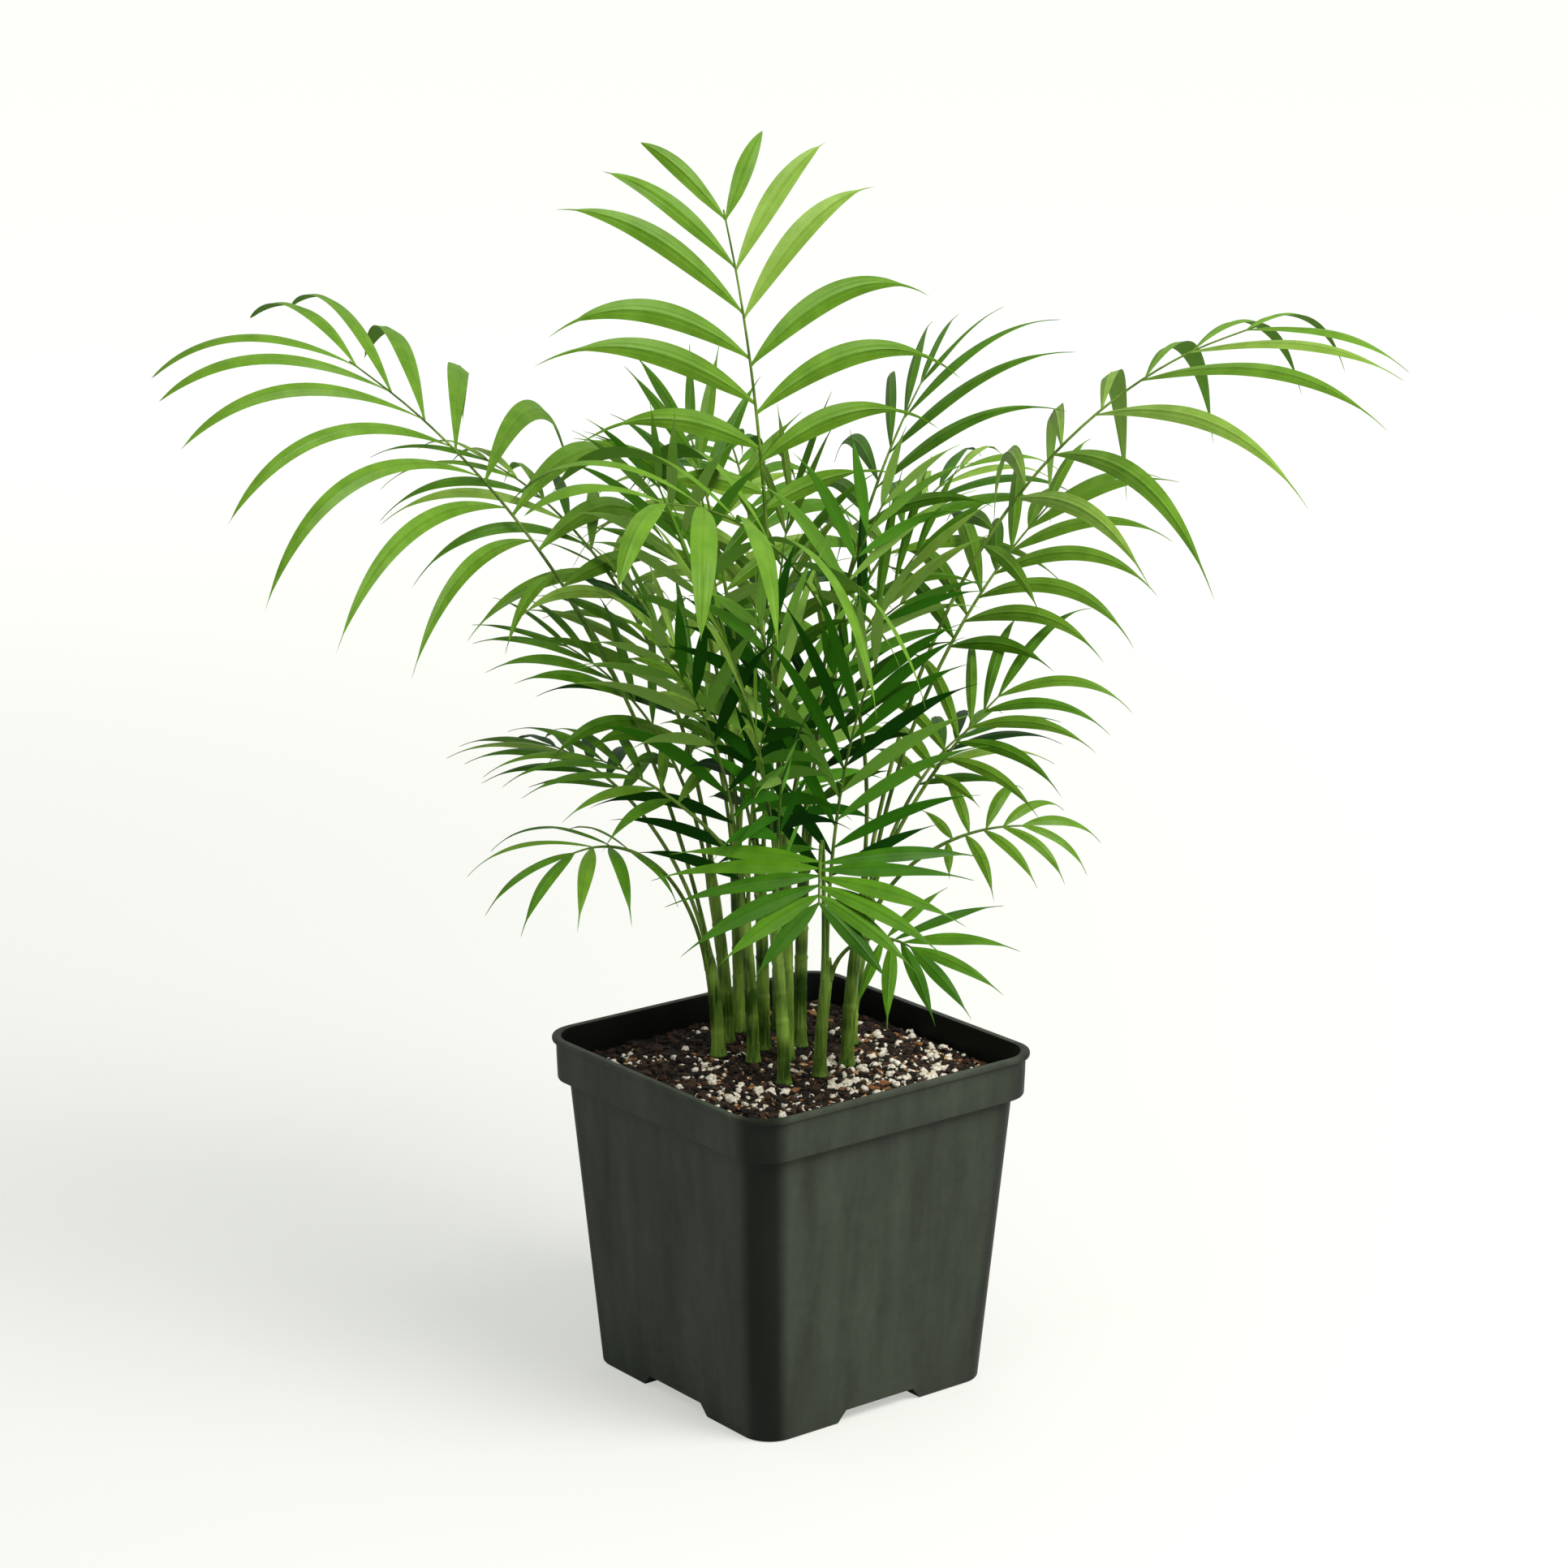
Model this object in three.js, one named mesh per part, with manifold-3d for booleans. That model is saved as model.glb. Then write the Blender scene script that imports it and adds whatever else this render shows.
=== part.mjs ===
// A young parlour palm in a square nursery pot. Millimetres, +Z up.
// The origin is the centre of the pot's flat underside, and the pot's walls run along X and Y.
// The palm is a clump: short stems stand on the potting mix, each forks into the stalks of a few
// fronds, and each frond is one thin blade whose outline is cut to the rib between its leaflets.
import * as THREE from "three";
import { mergeVertices } from "three/addons/utils/BufferGeometryUtils.js";
import Module from "manifold-3d";

const wasm = await Module();
wasm.setup();

// ---------------------------------------------------------------- driving dimensions

const POT = {
  height: 138.5,
  rimSide: 141.6, // outer width of the rim band
  bandHeight: 18,
  bodyTopSide: 133.5, // outer width of the body just under the band
  baseSide: 115, // outer width at the floor
  lipHeight: 2.4,
  lipProud: 1.2, // how far the lip stands out of the band
  bandTaper: 0.8, // how much narrower the band is at its foot
  cornerSteps: 5,
  wall: 1.8,
  floor: 2.2,
  cornerShare: 0.105, // corner radius as a share of the width
  notchWidth: 34, // drainage arch in the middle of each side, at the foot
  notchHeight: 5,
  notchDepth: 13,
  drainRadius: 4.5,
  drainSides: 12,
};
const OVERCUT = 10; // how far a cut runs on past the face it opens
const OVERLAP = 1; // how far blocks that are joined run into each other
const SOIL = {
  top: 128.5, // level of the mix where the stems stand
  plateau: 50, // radius of the level middle
  edgeDrop: 2.5, // how far the mix falls towards the wall
  lump: 0.7,
  lumpWaves: [0.31, 0.27], // along X and Y, in radians a millimetre
  cells: 12,
};
const QUARTERS = [0, 1, 2, 3].map((quarter) => (quarter * Math.PI) / 2);
const FIT_GAP = 0.3; // clearance between pieces that touch
const LEAF_GAP = 0.15; // clearance between a leaflet and its neighbours

const STEM = { sides: 7, flare: 1.3, flareHeight: 6, steps: 5, taper: [1.08, 0.92] };
const SHAFT = { footRadius: 0.95, ribRadius: 0.75, tipRadius: 0.35, sides: 4, steps: 10 };
const LEAFLET = {
  angles: [62, 20], // between a leaflet and the rib, on the lowest pair and on the last
  rise: 10, // how far the two rows are folded up from the frond's plane
  stagger: 0.16, // how far the two rows are out of step, as a share of their spacing
  ends: [0.72, 0.62], // length of the lowest pair and of the last, as shares of the longest
  slimmest: 0.5, // width of the shortest leaflets, as a share of the widest
  unevenness: { length: 0.06, angle: 4, droop: 0.2 }, // how much the leaflets differ
  longest: 0.35, // where along the rib the longest leaflets are
  outline: [0.9, 0.9], // how near the rib the widest place is, and how full the outline is
  keelShare: 0.012, // thickness at the midrib as a share of the length
  firstPair: 0.2, // how far out the lowest pair stands, as a share of the spacing
  sag: [0.4, 1.2], // share of the droop at a leaflet's root, and its gain towards the tip
  bendSteps: 16,
  longStations: [0, 0.15, 0.42, 0.74, 1], // cross-sections of a leaflet along its length
  shortStations: [0, 0.24, 0.62, 1],
  longFrom: 70, // leaflets this long and longer take the longer list
};

// Stems: foot on the mix (x, y), height to the fork, lean from the vertical, bearing of the lean
// counted anticlockwise from +X, and radius halfway up. Angles are in degrees.
const STEMS = {
  front: { foot: [-16, -17], height: 62, lean: 5, bearing: 150, radius: 2.45 },
  front_right: { foot: [1, -18], height: 40, lean: 6, bearing: 310, radius: 2.55 },
  right: { foot: [18, -14], height: 66, lean: 8, bearing: 322, radius: 2.55 },
  right_back: { foot: [36, 6], height: 52, lean: 12, bearing: 332, radius: 2.55 },
  middle: { foot: [3, 5], height: 84, lean: 2, bearing: 90, radius: 2.55 },
  centre: { foot: [18, 16], height: 72, lean: 3, bearing: 20, radius: 2.55 },
  left: { foot: [-15, 27], height: 36, lean: 7, bearing: 142, radius: 2.65 },
  left_back: { foot: [-2, 38], height: 64, lean: 8, bearing: 130, radius: 2.55 },
  inner: { foot: [4, 22], height: 76, lean: 2, bearing: 110, radius: 2.55 },
  back: { foot: [24, 38], height: 58, lean: 6, bearing: 55, radius: 2.55 },
  heart: { foot: [-9, 12], height: 60, lean: 5, bearing: 165, radius: 2.45 },
  rear: { foot: [10, 46], height: 66, lean: 4, bearing: 80, radius: 2.45 },
};

// Fronds, in the order in which their leaflets take up room. Each has its stem, the bearing it
// leans to, its lean at the foot and at the tip, how late it bends (curl), the length of its bare
// stalk and of its rib, its pairs of leaflets, the greatest length and width of a leaflet, and how
// hard they droop. Most have a seat, the bearing at which the stalk stands on the fork. Some have
// a roll of the blade about the rib, a skew by which one row droops more than the other, and
// their own rise, angles and ends in place of those of LEAFLET.
const FRONDS = {
  crown: {
    stem: "middle", bearing: 91, lean: [3.4, 20.3], curl: 2.5, stalk: 137, rib: 117,
    pairs: 7, leaf: 96, width: 11,
    droop: 1.4, roll: -14, rise: 5, angles: [63, 29], ends: [0.6, 0.46],
  },
  left_arch: {
    stem: "left", seat: 290, bearing: 121, lean: [13, 60], curl: 1.3, stalk: 164, rib: 126,
    pairs: 8, leaf: 124, width: 10,
    droop: 2.1, roll: -11, rise: 16, angles: [85, 26], ends: [0.5, 0.71],
  },
  right_arch: {
    stem: "right", seat: 82, bearing: 333, lean: [10.3, 76], curl: 1.66, stalk: 150, rib: 140,
    pairs: 7, leaf: 128, width: 8.5,
    droop: 2.1, skew: 0.38, roll: 7.5, rise: 5, angles: [81, 33], ends: [0.5, 0.58],
  },
  front_arch: {
    stem: "right", seat: 202, bearing: 180, lean: [-7, 84], curl: 1.47, stalk: 129, rib: 93,
    pairs: 6, leaf: 110, width: 12,
    droop: 2.5, roll: -14, rise: 22, angles: [90, 38], ends: [0.5, 0.55],
  },
  back_right_high: {
    stem: "centre", seat: 60, bearing: 10, lean: [7.6, 42], curl: 1.6, stalk: 140, rib: 67,
    pairs: 5, leaf: 94, width: 7,
    droop: 1.2, roll: -19, rise: -1, angles: [61, 17], ends: [0.77, 0.53],
  },
  left_back_high: {
    stem: "inner", seat: 70, bearing: 97, lean: [7, 24], curl: 1.9, stalk: 110, rib: 66,
    pairs: 6, leaf: 68, width: 7, droop: 0.6,
  },
  right_mid: {
    stem: "right_back", seat: 170, bearing: 352, lean: [8, 50], curl: 1.1, stalk: 115, rib: 72,
    pairs: 7, leaf: 82, width: 7.5, droop: 1.6, roll: 12,
  },
  right_low: {
    stem: "right", seat: 328, bearing: 338, lean: [18, 48], curl: 0.9, stalk: 58, rib: 42,
    pairs: 6, leaf: 57, width: 5.2,
    droop: 1.4, roll: 33, rise: 11, angles: [78, 22], ends: [0.5, 1],
  },
  right_small: {
    stem: "right_back", seat: 290, bearing: 332, lean: [17, 94], curl: 0.8, stalk: 45, rib: 33,
    pairs: 5, leaf: 38, width: 5,
    droop: 1.5, roll: 32, rise: 21, angles: [103, 17], ends: [0.56, 1],
  },
  front_small: {
    stem: "front_right", seat: 300, bearing: 284, lean: [12, 108], curl: 0.9, stalk: 36, rib: 14,
    pairs: 4, leaf: 46, width: 6,
    droop: 0.5, roll: 30, rise: 0, angles: [84, 16], ends: [0.8, 0.9],
  },
  front_fan: {
    stem: "front_right", seat: 180, bearing: 230, lean: [0, 146], curl: 1.55, stalk: 106, rib: 20,
    pairs: 6, leaf: 62, width: 8, droop: 0.4, rise: 4, angles: [106, 46], ends: [1, 0.66],
  },
  left_low: {
    stem: "front", seat: 140, bearing: 122, lean: [12, 74], curl: 0.7, stalk: 63, rib: 36,
    pairs: 5, leaf: 53, width: 5,
    droop: 1, roll: -12, rise: 16, angles: [77, 18], ends: [1, 1],
  },
  left_small: {
    stem: "left", seat: 178, bearing: 187, lean: [15, 98], curl: 1.4, stalk: 73, rib: 32,
    pairs: 4, leaf: 54, width: 5,
    droop: 1.4, roll: -10, rise: 10, angles: [84, 16], ends: [0.77, 0.87],
  },
  left_mid: {
    stem: "left_back", seat: 170, bearing: 135, lean: [8, 62], curl: 1.4, stalk: 48, rib: 72,
    pairs: 7, leaf: 66, width: 6, droop: 1, roll: -14,
  },
  left_inner: {
    stem: "inner", seat: 190, bearing: 138, lean: [6, 38], curl: 1, stalk: 22, rib: 88,
    pairs: 8, leaf: 58, width: 6.5, droop: 0.7, roll: -20,
  },
  inner_front: {
    stem: "middle", seat: 267, bearing: 215, lean: [4, 42], curl: 1.4, stalk: 18, rib: 92,
    pairs: 8, leaf: 70, width: 6.5, droop: 0.7, roll: 48, angles: [54, 20],
  },
  inner_front_right: {
    stem: "front_right", seat: 60, bearing: 262, lean: [2, 34], curl: 1.4, stalk: 38, rib: 104,
    pairs: 9, leaf: 70, width: 6.5, droop: 0.7, roll: -42, angles: [50, 18],
  },
  inner_right: {
    stem: "centre", seat: 320, bearing: 330, lean: [4, 40], curl: 1.4, stalk: 28, rib: 112,
    pairs: 9, leaf: 72, width: 6.5, droop: 0.8, roll: 38, angles: [50, 18],
  },
  inner_left: {
    stem: "front", seat: 332, bearing: 170, lean: [2, 30], curl: 1.4, stalk: 40, rib: 108,
    pairs: 9, leaf: 72, width: 6.5, droop: 0.8, roll: -36, angles: [50, 18],
  },
  inner_back: {
    stem: "inner", seat: 310, bearing: 30, lean: [2, 26], curl: 1.4, stalk: 50, rib: 100,
    pairs: 8, leaf: 72, width: 6.5, droop: 0.8, roll: -30,
  },
  back_arch: {
    stem: "back", seat: 172, bearing: 62, lean: [6, 84], curl: 1.6, stalk: 120, rib: 104,
    pairs: 8, leaf: 94, width: 8.5, droop: 2, rise: 0,
  },
  back_right_arch: {
    stem: "back", seat: 292, bearing: 8, lean: [9, 70], curl: 1.4, stalk: 118, rib: 86,
    pairs: 7, leaf: 84, width: 8, droop: 1.6, rise: 4,
  },
  back_left_arch: {
    stem: "left_back", seat: 290, bearing: 112, lean: [9, 70], curl: 1.5, stalk: 118, rib: 90,
    pairs: 7, leaf: 82, width: 8, droop: 1.6, rise: 4,
  },
  back_mid: {
    stem: "left_back", seat: 50, bearing: 80, lean: [12, 66], curl: 1.1, stalk: 56, rib: 78,
    pairs: 7, leaf: 66, width: 7, droop: 1.1,
  },
  back_low: {
    stem: "back", seat: 52, bearing: 52, lean: [16, 88], curl: 1, stalk: 62, rib: 42,
    pairs: 5, leaf: 56, width: 7, droop: 1, ends: [0.7, 0.85],
  },
  back_right_low: {
    stem: "right_back", seat: 50, bearing: 15, lean: [16, 80], curl: 1, stalk: 60, rib: 42,
    pairs: 5, leaf: 56, width: 7, droop: 1, ends: [0.7, 0.85],
  },
  heart_left: {
    stem: "heart", seat: 185, bearing: 196, lean: [4, 50], curl: 1.4, stalk: 16, rib: 112,
    pairs: 10, leaf: 62, width: 6.5, droop: 1, roll: 34,
  },
  heart_front: {
    stem: "heart", seat: 305, bearing: 244, lean: [3, 52], curl: 1.4, stalk: 16, rib: 84,
    pairs: 7, leaf: 60, width: 6.5, droop: 1, roll: -58, angles: [52, 20],
  },
  heart_high: {
    stem: "heart", seat: 65, bearing: 160, lean: [3, 24], curl: 1.6, stalk: 120, rib: 60,
    pairs: 6, leaf: 64, width: 6.5, droop: 0.9, roll: 35,
  },
  centre_high: {
    stem: "centre", seat: 200, bearing: 300, lean: [3, 30], curl: 1.8, stalk: 96, rib: 62,
    pairs: 6, leaf: 66, width: 6.5, droop: 0.9, roll: -40,
  },
  middle_right: {
    stem: "middle", seat: 0, bearing: 305, lean: [3, 54], curl: 1.4, stalk: 12, rib: 108,
    pairs: 9, leaf: 62, width: 6.5, droop: 1, roll: -44,
  },
  front_inner: {
    stem: "front", seat: 244, bearing: 236, lean: [6, 60], curl: 1.3, stalk: 18, rib: 74,
    pairs: 7, leaf: 56, width: 6.5, droop: 1, roll: 56, angles: [54, 20],
  },
  rear_high: {
    stem: "rear", seat: 80, bearing: 72, lean: [4, 34], curl: 1.5, stalk: 104, rib: 64,
    pairs: 6, leaf: 66, width: 7, droop: 1,
  },
  rear_left: {
    stem: "rear", seat: 200, bearing: 124, lean: [3, 48], curl: 1.3, stalk: 46, rib: 88,
    pairs: 7, leaf: 62, width: 6.5, droop: 1, roll: 26,
  },
  rear_right: {
    stem: "rear", seat: 320, bearing: 38, lean: [6, 62], curl: 1.3, stalk: 44, rib: 86,
    pairs: 7, leaf: 62, width: 6.5, droop: 1, roll: -26,
  },
  back_left_low: {
    stem: "left", seat: 50, bearing: 100, lean: [14, 84], curl: 1, stalk: 82, rib: 42,
    pairs: 5, leaf: 56, width: 7, droop: 1, ends: [0.7, 0.85],
  },
};

// ---------------------------------------------------------------- vectors and solids

const radians = (degrees) => (degrees * Math.PI) / 180;
const vec = (x, y, z) => new THREE.Vector3(x, y, z);
const mix = (a, b, t) => a + (b - a) * t;

// A closed three.js geometry as a manifold-3d solid.
function solid(geometry) {
  const bare = geometry.clone();
  bare.deleteAttribute("normal");
  bare.deleteAttribute("uv");
  const merged = mergeVertices(bare, 1e-4);
  return new wasm.Manifold(
    new wasm.Mesh({
      numProp: 3,
      vertProperties: new Float32Array(merged.attributes.position.array),
      triVerts: new Uint32Array(merged.index.array),
    }),
  );
}

function geometryOf(manifold) {
  const { numProp, vertProperties, triVerts } = manifold.getMesh();
  const positions = new Float32Array((vertProperties.length / numProp) * 3);
  for (let i = 0; i < positions.length / 3; i++) {
    positions.set(vertProperties.subarray(i * numProp, i * numProp + 3), i * 3);
  }
  const geometry = new THREE.BufferGeometry();
  geometry.setAttribute("position", new THREE.BufferAttribute(positions, 3));
  geometry.setIndex(new THREE.BufferAttribute(triVerts, 1));
  geometry.computeVertexNormals();
  return geometry;
}

// Moves every vertex of a geometry to where place(vertex) puts it.
function reshape(geometry, place) {
  const position = geometry.attributes.position;
  const at = new THREE.Vector3();
  for (let i = 0; i < position.count; i++) {
    const moved = place(at.fromBufferAttribute(position, i));
    position.setXYZ(i, moved.x, moved.y, moved.z);
  }
  return geometry;
}

// ---------------------------------------------------------------- pot and potting mix

function roundedSquare(side) {
  const h = side / 2;
  const r = side * POT.cornerShare;
  const shape = new THREE.Shape();
  shape.moveTo(h, -h + r);
  shape.lineTo(h, h - r);
  shape.absarc(h - r, h - r, r, 0, Math.PI / 2, false);
  shape.lineTo(-h + r, h);
  shape.absarc(-h + r, h - r, r, Math.PI / 2, Math.PI, false);
  shape.lineTo(-h, -h + r);
  shape.absarc(-h + r, -h + r, r, Math.PI, 1.5 * Math.PI, false);
  shape.lineTo(h - r, -h);
  shape.absarc(h - r, -h + r, r, 1.5 * Math.PI, 2 * Math.PI, false);
  return shape;
}

// A prism on a rounded square that widens evenly from one side length to another.
function taperedBlock(bottom, top, bottomSide, topSide) {
  const block = new THREE.ExtrudeGeometry(roundedSquare(1), {
    depth: top - bottom,
    steps: 1,
    bevelEnabled: false,
    curveSegments: POT.cornerSteps,
  });
  return solid(
    reshape(block, ({ x, y, z }) => {
      const side = mix(bottomSide, topSide, z / (top - bottom));
      return vec(x * side, y * side, bottom + z);
    }),
  );
}

const bandFoot = POT.height - POT.bandHeight;
const bodySide = (z) => mix(POT.baseSide, POT.bodyTopSide, z / bandFoot);
const innerSide = (z) => bodySide(z) - 2 * POT.wall;
const bandInnerSide = POT.rimSide - 2 * POT.wall;

// The space inside the pot, drawn in by a clearance, from one level up to another.
function potRoom(bottom, top, clearance) {
  const shoulder = bandFoot + POT.wall;
  const low = taperedBlock(
    bottom,
    shoulder,
    innerSide(bottom) - 2 * clearance,
    innerSide(shoulder) - 2 * clearance,
  );
  const high = taperedBlock(
    shoulder + clearance,
    top,
    bandInnerSide - POT.bandTaper - 2 * clearance,
    bandInnerSide - 2 * clearance,
  );
  const neck = taperedBlock(
    shoulder - OVERLAP,
    shoulder + clearance + OVERLAP,
    innerSide(shoulder) - 2 * clearance,
    innerSide(shoulder) - 2 * clearance,
  );
  return low.add(neck).add(high);
}

// The cut for the drainage arch in the middle of one side: a block with sloping ends.
function drainArch(turn) {
  const half = POT.notchWidth / 2;
  const arch = new THREE.Shape();
  arch.moveTo(-half - POT.notchHeight, -OVERLAP);
  arch.lineTo(half + POT.notchHeight, -OVERLAP);
  arch.lineTo(half, POT.notchHeight);
  arch.lineTo(-half, POT.notchHeight);
  arch.closePath();
  const depth = POT.notchDepth + OVERCUT;
  const cut = new THREE.ExtrudeGeometry(arch, { depth, bevelEnabled: false });
  cut.rotateX(Math.PI / 2);
  cut.translate(0, POT.baseSide / 2 + OVERCUT, 0);
  cut.rotateZ(turn);
  return solid(cut);
}

// The block by which the floor is raised over each arch, so that the arches open under a whole
// floor. The mix leaves the same block free, with a clearance round it.
function archHoods(clearance) {
  const width = POT.notchWidth + 2 * (POT.notchHeight + POT.wall + clearance);
  const depth = POT.notchDepth + POT.wall + OVERCUT + clearance;
  const height = POT.notchHeight + POT.floor + clearance;
  return QUARTERS.map((turn) => {
    const hood = new THREE.BoxGeometry(width, depth, height);
    hood.translate(0, (POT.baseSide + 2 * OVERCUT - depth) / 2, height / 2);
    hood.rotateZ(turn);
    return solid(hood);
  });
}

function drainHole(turn) {
  const hole = new THREE.CylinderGeometry(
    POT.drainRadius,
    POT.drainRadius,
    2 * OVERCUT,
    POT.drainSides,
  );
  hole.rotateX(Math.PI / 2);
  hole.translate(0, (POT.baseSide - POT.notchDepth) / 2, POT.notchHeight);
  hole.rotateZ(turn);
  return solid(hole);
}

function makePot() {
  const lipSide = POT.rimSide + 2 * POT.lipProud;
  const bodyTop = bandFoot + OVERLAP;
  const outer = taperedBlock(0, bodyTop, bodySide(0), bodySide(bodyTop))
    .add(taperedBlock(bandFoot, POT.height, POT.rimSide - POT.bandTaper, POT.rimSide))
    .add(taperedBlock(POT.height - POT.lipHeight, POT.height, lipSide, lipSide));
  const room = archHoods(0).reduce(
    (space, hood) => space.subtract(hood),
    potRoom(POT.floor, POT.height + OVERCUT, 0),
  );
  return QUARTERS.reduce(
    (pot, turn) => pot.subtract(drainArch(turn)).subtract(drainHole(turn)),
    outer.subtract(room),
  );
}

// The mix fills the pot to just under the lip. It is level where the stems stand, and falls a
// little and turns lumpy towards the walls.
function makeSoil() {
  const bottom = POT.floor + FIT_GAP;
  const depth = SOIL.top - bottom;
  const block = new THREE.BoxGeometry(POT.rimSide, POT.rimSide, depth, SOIL.cells, SOIL.cells, 1);
  block.translate(0, 0, bottom + depth / 2);
  reshape(block, ({ x, y, z }) => {
    const out = Math.max(0, Math.hypot(x, y) - SOIL.plateau) / (POT.rimSide / 2 - SOIL.plateau);
    const lump = SOIL.lump * Math.sin(x * SOIL.lumpWaves[0]) * Math.sin(y * SOIL.lumpWaves[1]);
    const fall = Math.min(1, out) * (SOIL.edgeDrop + lump);
    return vec(x, y, z > bottom + depth / 2 ? z - fall : z);
  });
  const room = potRoom(bottom, SOIL.top + OVERCUT, FIT_GAP);
  return archHoods(FIT_GAP).reduce(
    (soil, hood) => soil.subtract(hood),
    solid(block).intersect(room),
  );
}

// ---------------------------------------------------------------- shafts: stems, stalks and ribs

// Walks a leaning shaft and returns its stations: the point, the direction, the level side
// vector and the normal of the upper face. bend(share) gives the lean and the bearing in degrees.
function walk(start, length, steps, bend) {
  const stations = [];
  const point = start.clone();
  for (let i = 0; i <= steps; i++) {
    const { lean, bearing, roll } = bend(i / steps);
    const outward = vec(Math.cos(radians(bearing)), Math.sin(radians(bearing)), 0);
    const along = outward.clone().multiplyScalar(Math.sin(radians(lean)));
    along.z = Math.cos(radians(lean));
    const level = vec(-outward.y, outward.x, 0);
    const side = level.clone().applyAxisAngle(along, radians(roll));
    stations.push({ point: point.clone(), along, side, face: along.clone().cross(side) });
    const ahead = bend((i + 0.5) / steps);
    const sweep = (length / steps) * Math.sin(radians(ahead.lean));
    point.x += sweep * Math.cos(radians(ahead.bearing));
    point.y += sweep * Math.sin(radians(ahead.bearing));
    point.z += (length / steps) * Math.cos(radians(ahead.lean));
  }
  return stations;
}

// The station at a share of a walked shaft, between the two nearest ones.
function stationAt(stations, share) {
  const place = Math.min(share, 0.99999) * (stations.length - 1);
  const i = Math.floor(place);
  const between = (key) => stations[i][key].clone().lerp(stations[i + 1][key], place - i);
  return {
    point: between("point"),
    along: between("along").normalize(),
    side: between("side").normalize(),
    face: between("face").normalize(),
  };
}

// A closed bar with a ring at each station of a shaft, of the radius that radius(share) gives.
function bentBar(stations, sides, radius) {
  const steps = stations.length - 1;
  const bar = new THREE.CylinderGeometry(1, 1, 1, sides, steps);
  return solid(
    reshape(bar, ({ x, y, z }) => {
      const share = y + 0.5;
      const { point, side, face } = stations[Math.round(share * steps)];
      return point
        .clone()
        .addScaledVector(side, z * radius(share))
        .addScaledVector(face, x * radius(share));
    }),
  );
}

function walkStem({ foot, height, lean, bearing }) {
  return walk(vec(...foot, SOIL.top + FIT_GAP), height, STEM.steps, (share) => ({
    lean: lean * Math.sin((share * Math.PI) / 2),
    bearing,
    roll: 0,
  }));
}

function makeStem(spec) {
  return bentBar(walkStem(spec), STEM.sides, (share) => {
    const rise = Math.min(1, (share * spec.height) / STEM.flareHeight);
    return spec.radius * mix(...STEM.taper, share) * mix(STEM.flare, 1, rise);
  });
}

// A frond's shaft is its bare stalk and then the rib that carries the leaflets. The stalks that
// leave one stem stand side by side on its fork, each on its own seat.
function walkFrond(spec) {
  const stem = STEMS[spec.stem];
  const seat = radians((spec.seat ?? spec.bearing) - stem.bearing - 90);
  const fork = walkStem(stem).at(-1);
  const reach = stem.radius * STEM.taper[1] - SHAFT.footRadius;
  const foot = fork.point
    .addScaledVector(fork.along, FIT_GAP)
    .addScaledVector(fork.side, reach * Math.cos(seat))
    .addScaledVector(fork.face, reach * Math.sin(seat));
  return walk(foot, spec.stalk + spec.rib, SHAFT.steps, (share) => ({
    lean: mix(...spec.lean, share ** spec.curl),
    bearing: spec.bearing,
    roll: spec.roll ?? 0,
  }));
}

function makeShaft(spec, stations) {
  const bare = spec.stalk / (spec.stalk + spec.rib);
  return bentBar(stations, SHAFT.sides, (share) =>
    share < bare
      ? mix(SHAFT.footRadius, SHAFT.ribRadius, share / bare)
      : mix(SHAFT.ribRadius, SHAFT.tipRadius, (share - bare) / (1 - bare)),
  );
}

// ---------------------------------------------------------------- leaflets

// Half the width of a leaflet along its length, as a share of its greatest half width.
const leafOutline = (t) =>
  Math.sin(Math.PI * t ** LEAFLET.outline[0]) ** LEAFLET.outline[1];

// How long the leaflets are along the rib, as a share of the longest.
function lengthShare(t, [lowest, last]) {
  return t < LEAFLET.longest
    ? mix(lowest, 1, Math.sin((t / LEAFLET.longest) * (Math.PI / 2)))
    : mix(last, 1, Math.cos(((t - LEAFLET.longest) / (1 - LEAFLET.longest)) * (Math.PI / 2)));
}

// A repeatable number between -1 and 1 for each whole number.
function chance(n) {
  const wave = Math.sin(n * 12.9898 + 78.233) * 43758.5453;
  return (wave - Math.floor(wave)) * 2 - 1;
}

// The leaflets of a frond, from its lowest pair to its tip: where each leaves the rib, which way
// it sets out, and its size. draw is the first of the frond's chance numbers.
function leafletPlan(spec, stations, draw) {
  const shaft = spec.stalk + spec.rib;
  const spacing = spec.rib / (spec.pairs - 0.5);
  const uneven = LEAFLET.unevenness;
  const skew = spec.skew ?? 0;
  const plan = [];
  for (let pair = 0; pair < spec.pairs; pair++) {
    const t = pair / (spec.pairs - 1);
    for (const hand of [1, -1]) {
      draw += 3;
      const out = spacing * (pair + LEAFLET.firstPair + LEAFLET.stagger * hand * (1 - t));
      const { point, along, side, face } = stationAt(stations, (spec.stalk + out) / shaft);
      const angle = mix(...(spec.angles ?? LEAFLET.angles), t) + uneven.angle * chance(draw);
      const rise = radians(spec.rise ?? LEAFLET.rise);
      const aside = side
        .clone()
        .multiplyScalar(hand * Math.cos(rise))
        .addScaledVector(face, Math.sin(rise));
      const heading = along
        .clone()
        .multiplyScalar(Math.cos(radians(angle)))
        .addScaledVector(aside, Math.sin(radians(angle)));
      const size = lengthShare(t, spec.ends ?? LEAFLET.ends);
      plan.push({
        root: point,
        heading,
        face,
        length: spec.leaf * size * (1 + uneven.length * chance(draw + 1)),
        width: spec.width * mix(LEAFLET.slimmest, 1, size),
        droop: spec.droop * size * (1 + uneven.droop * chance(draw + 2) + skew * hand),
      });
    }
  }
  return plan;
}

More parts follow.
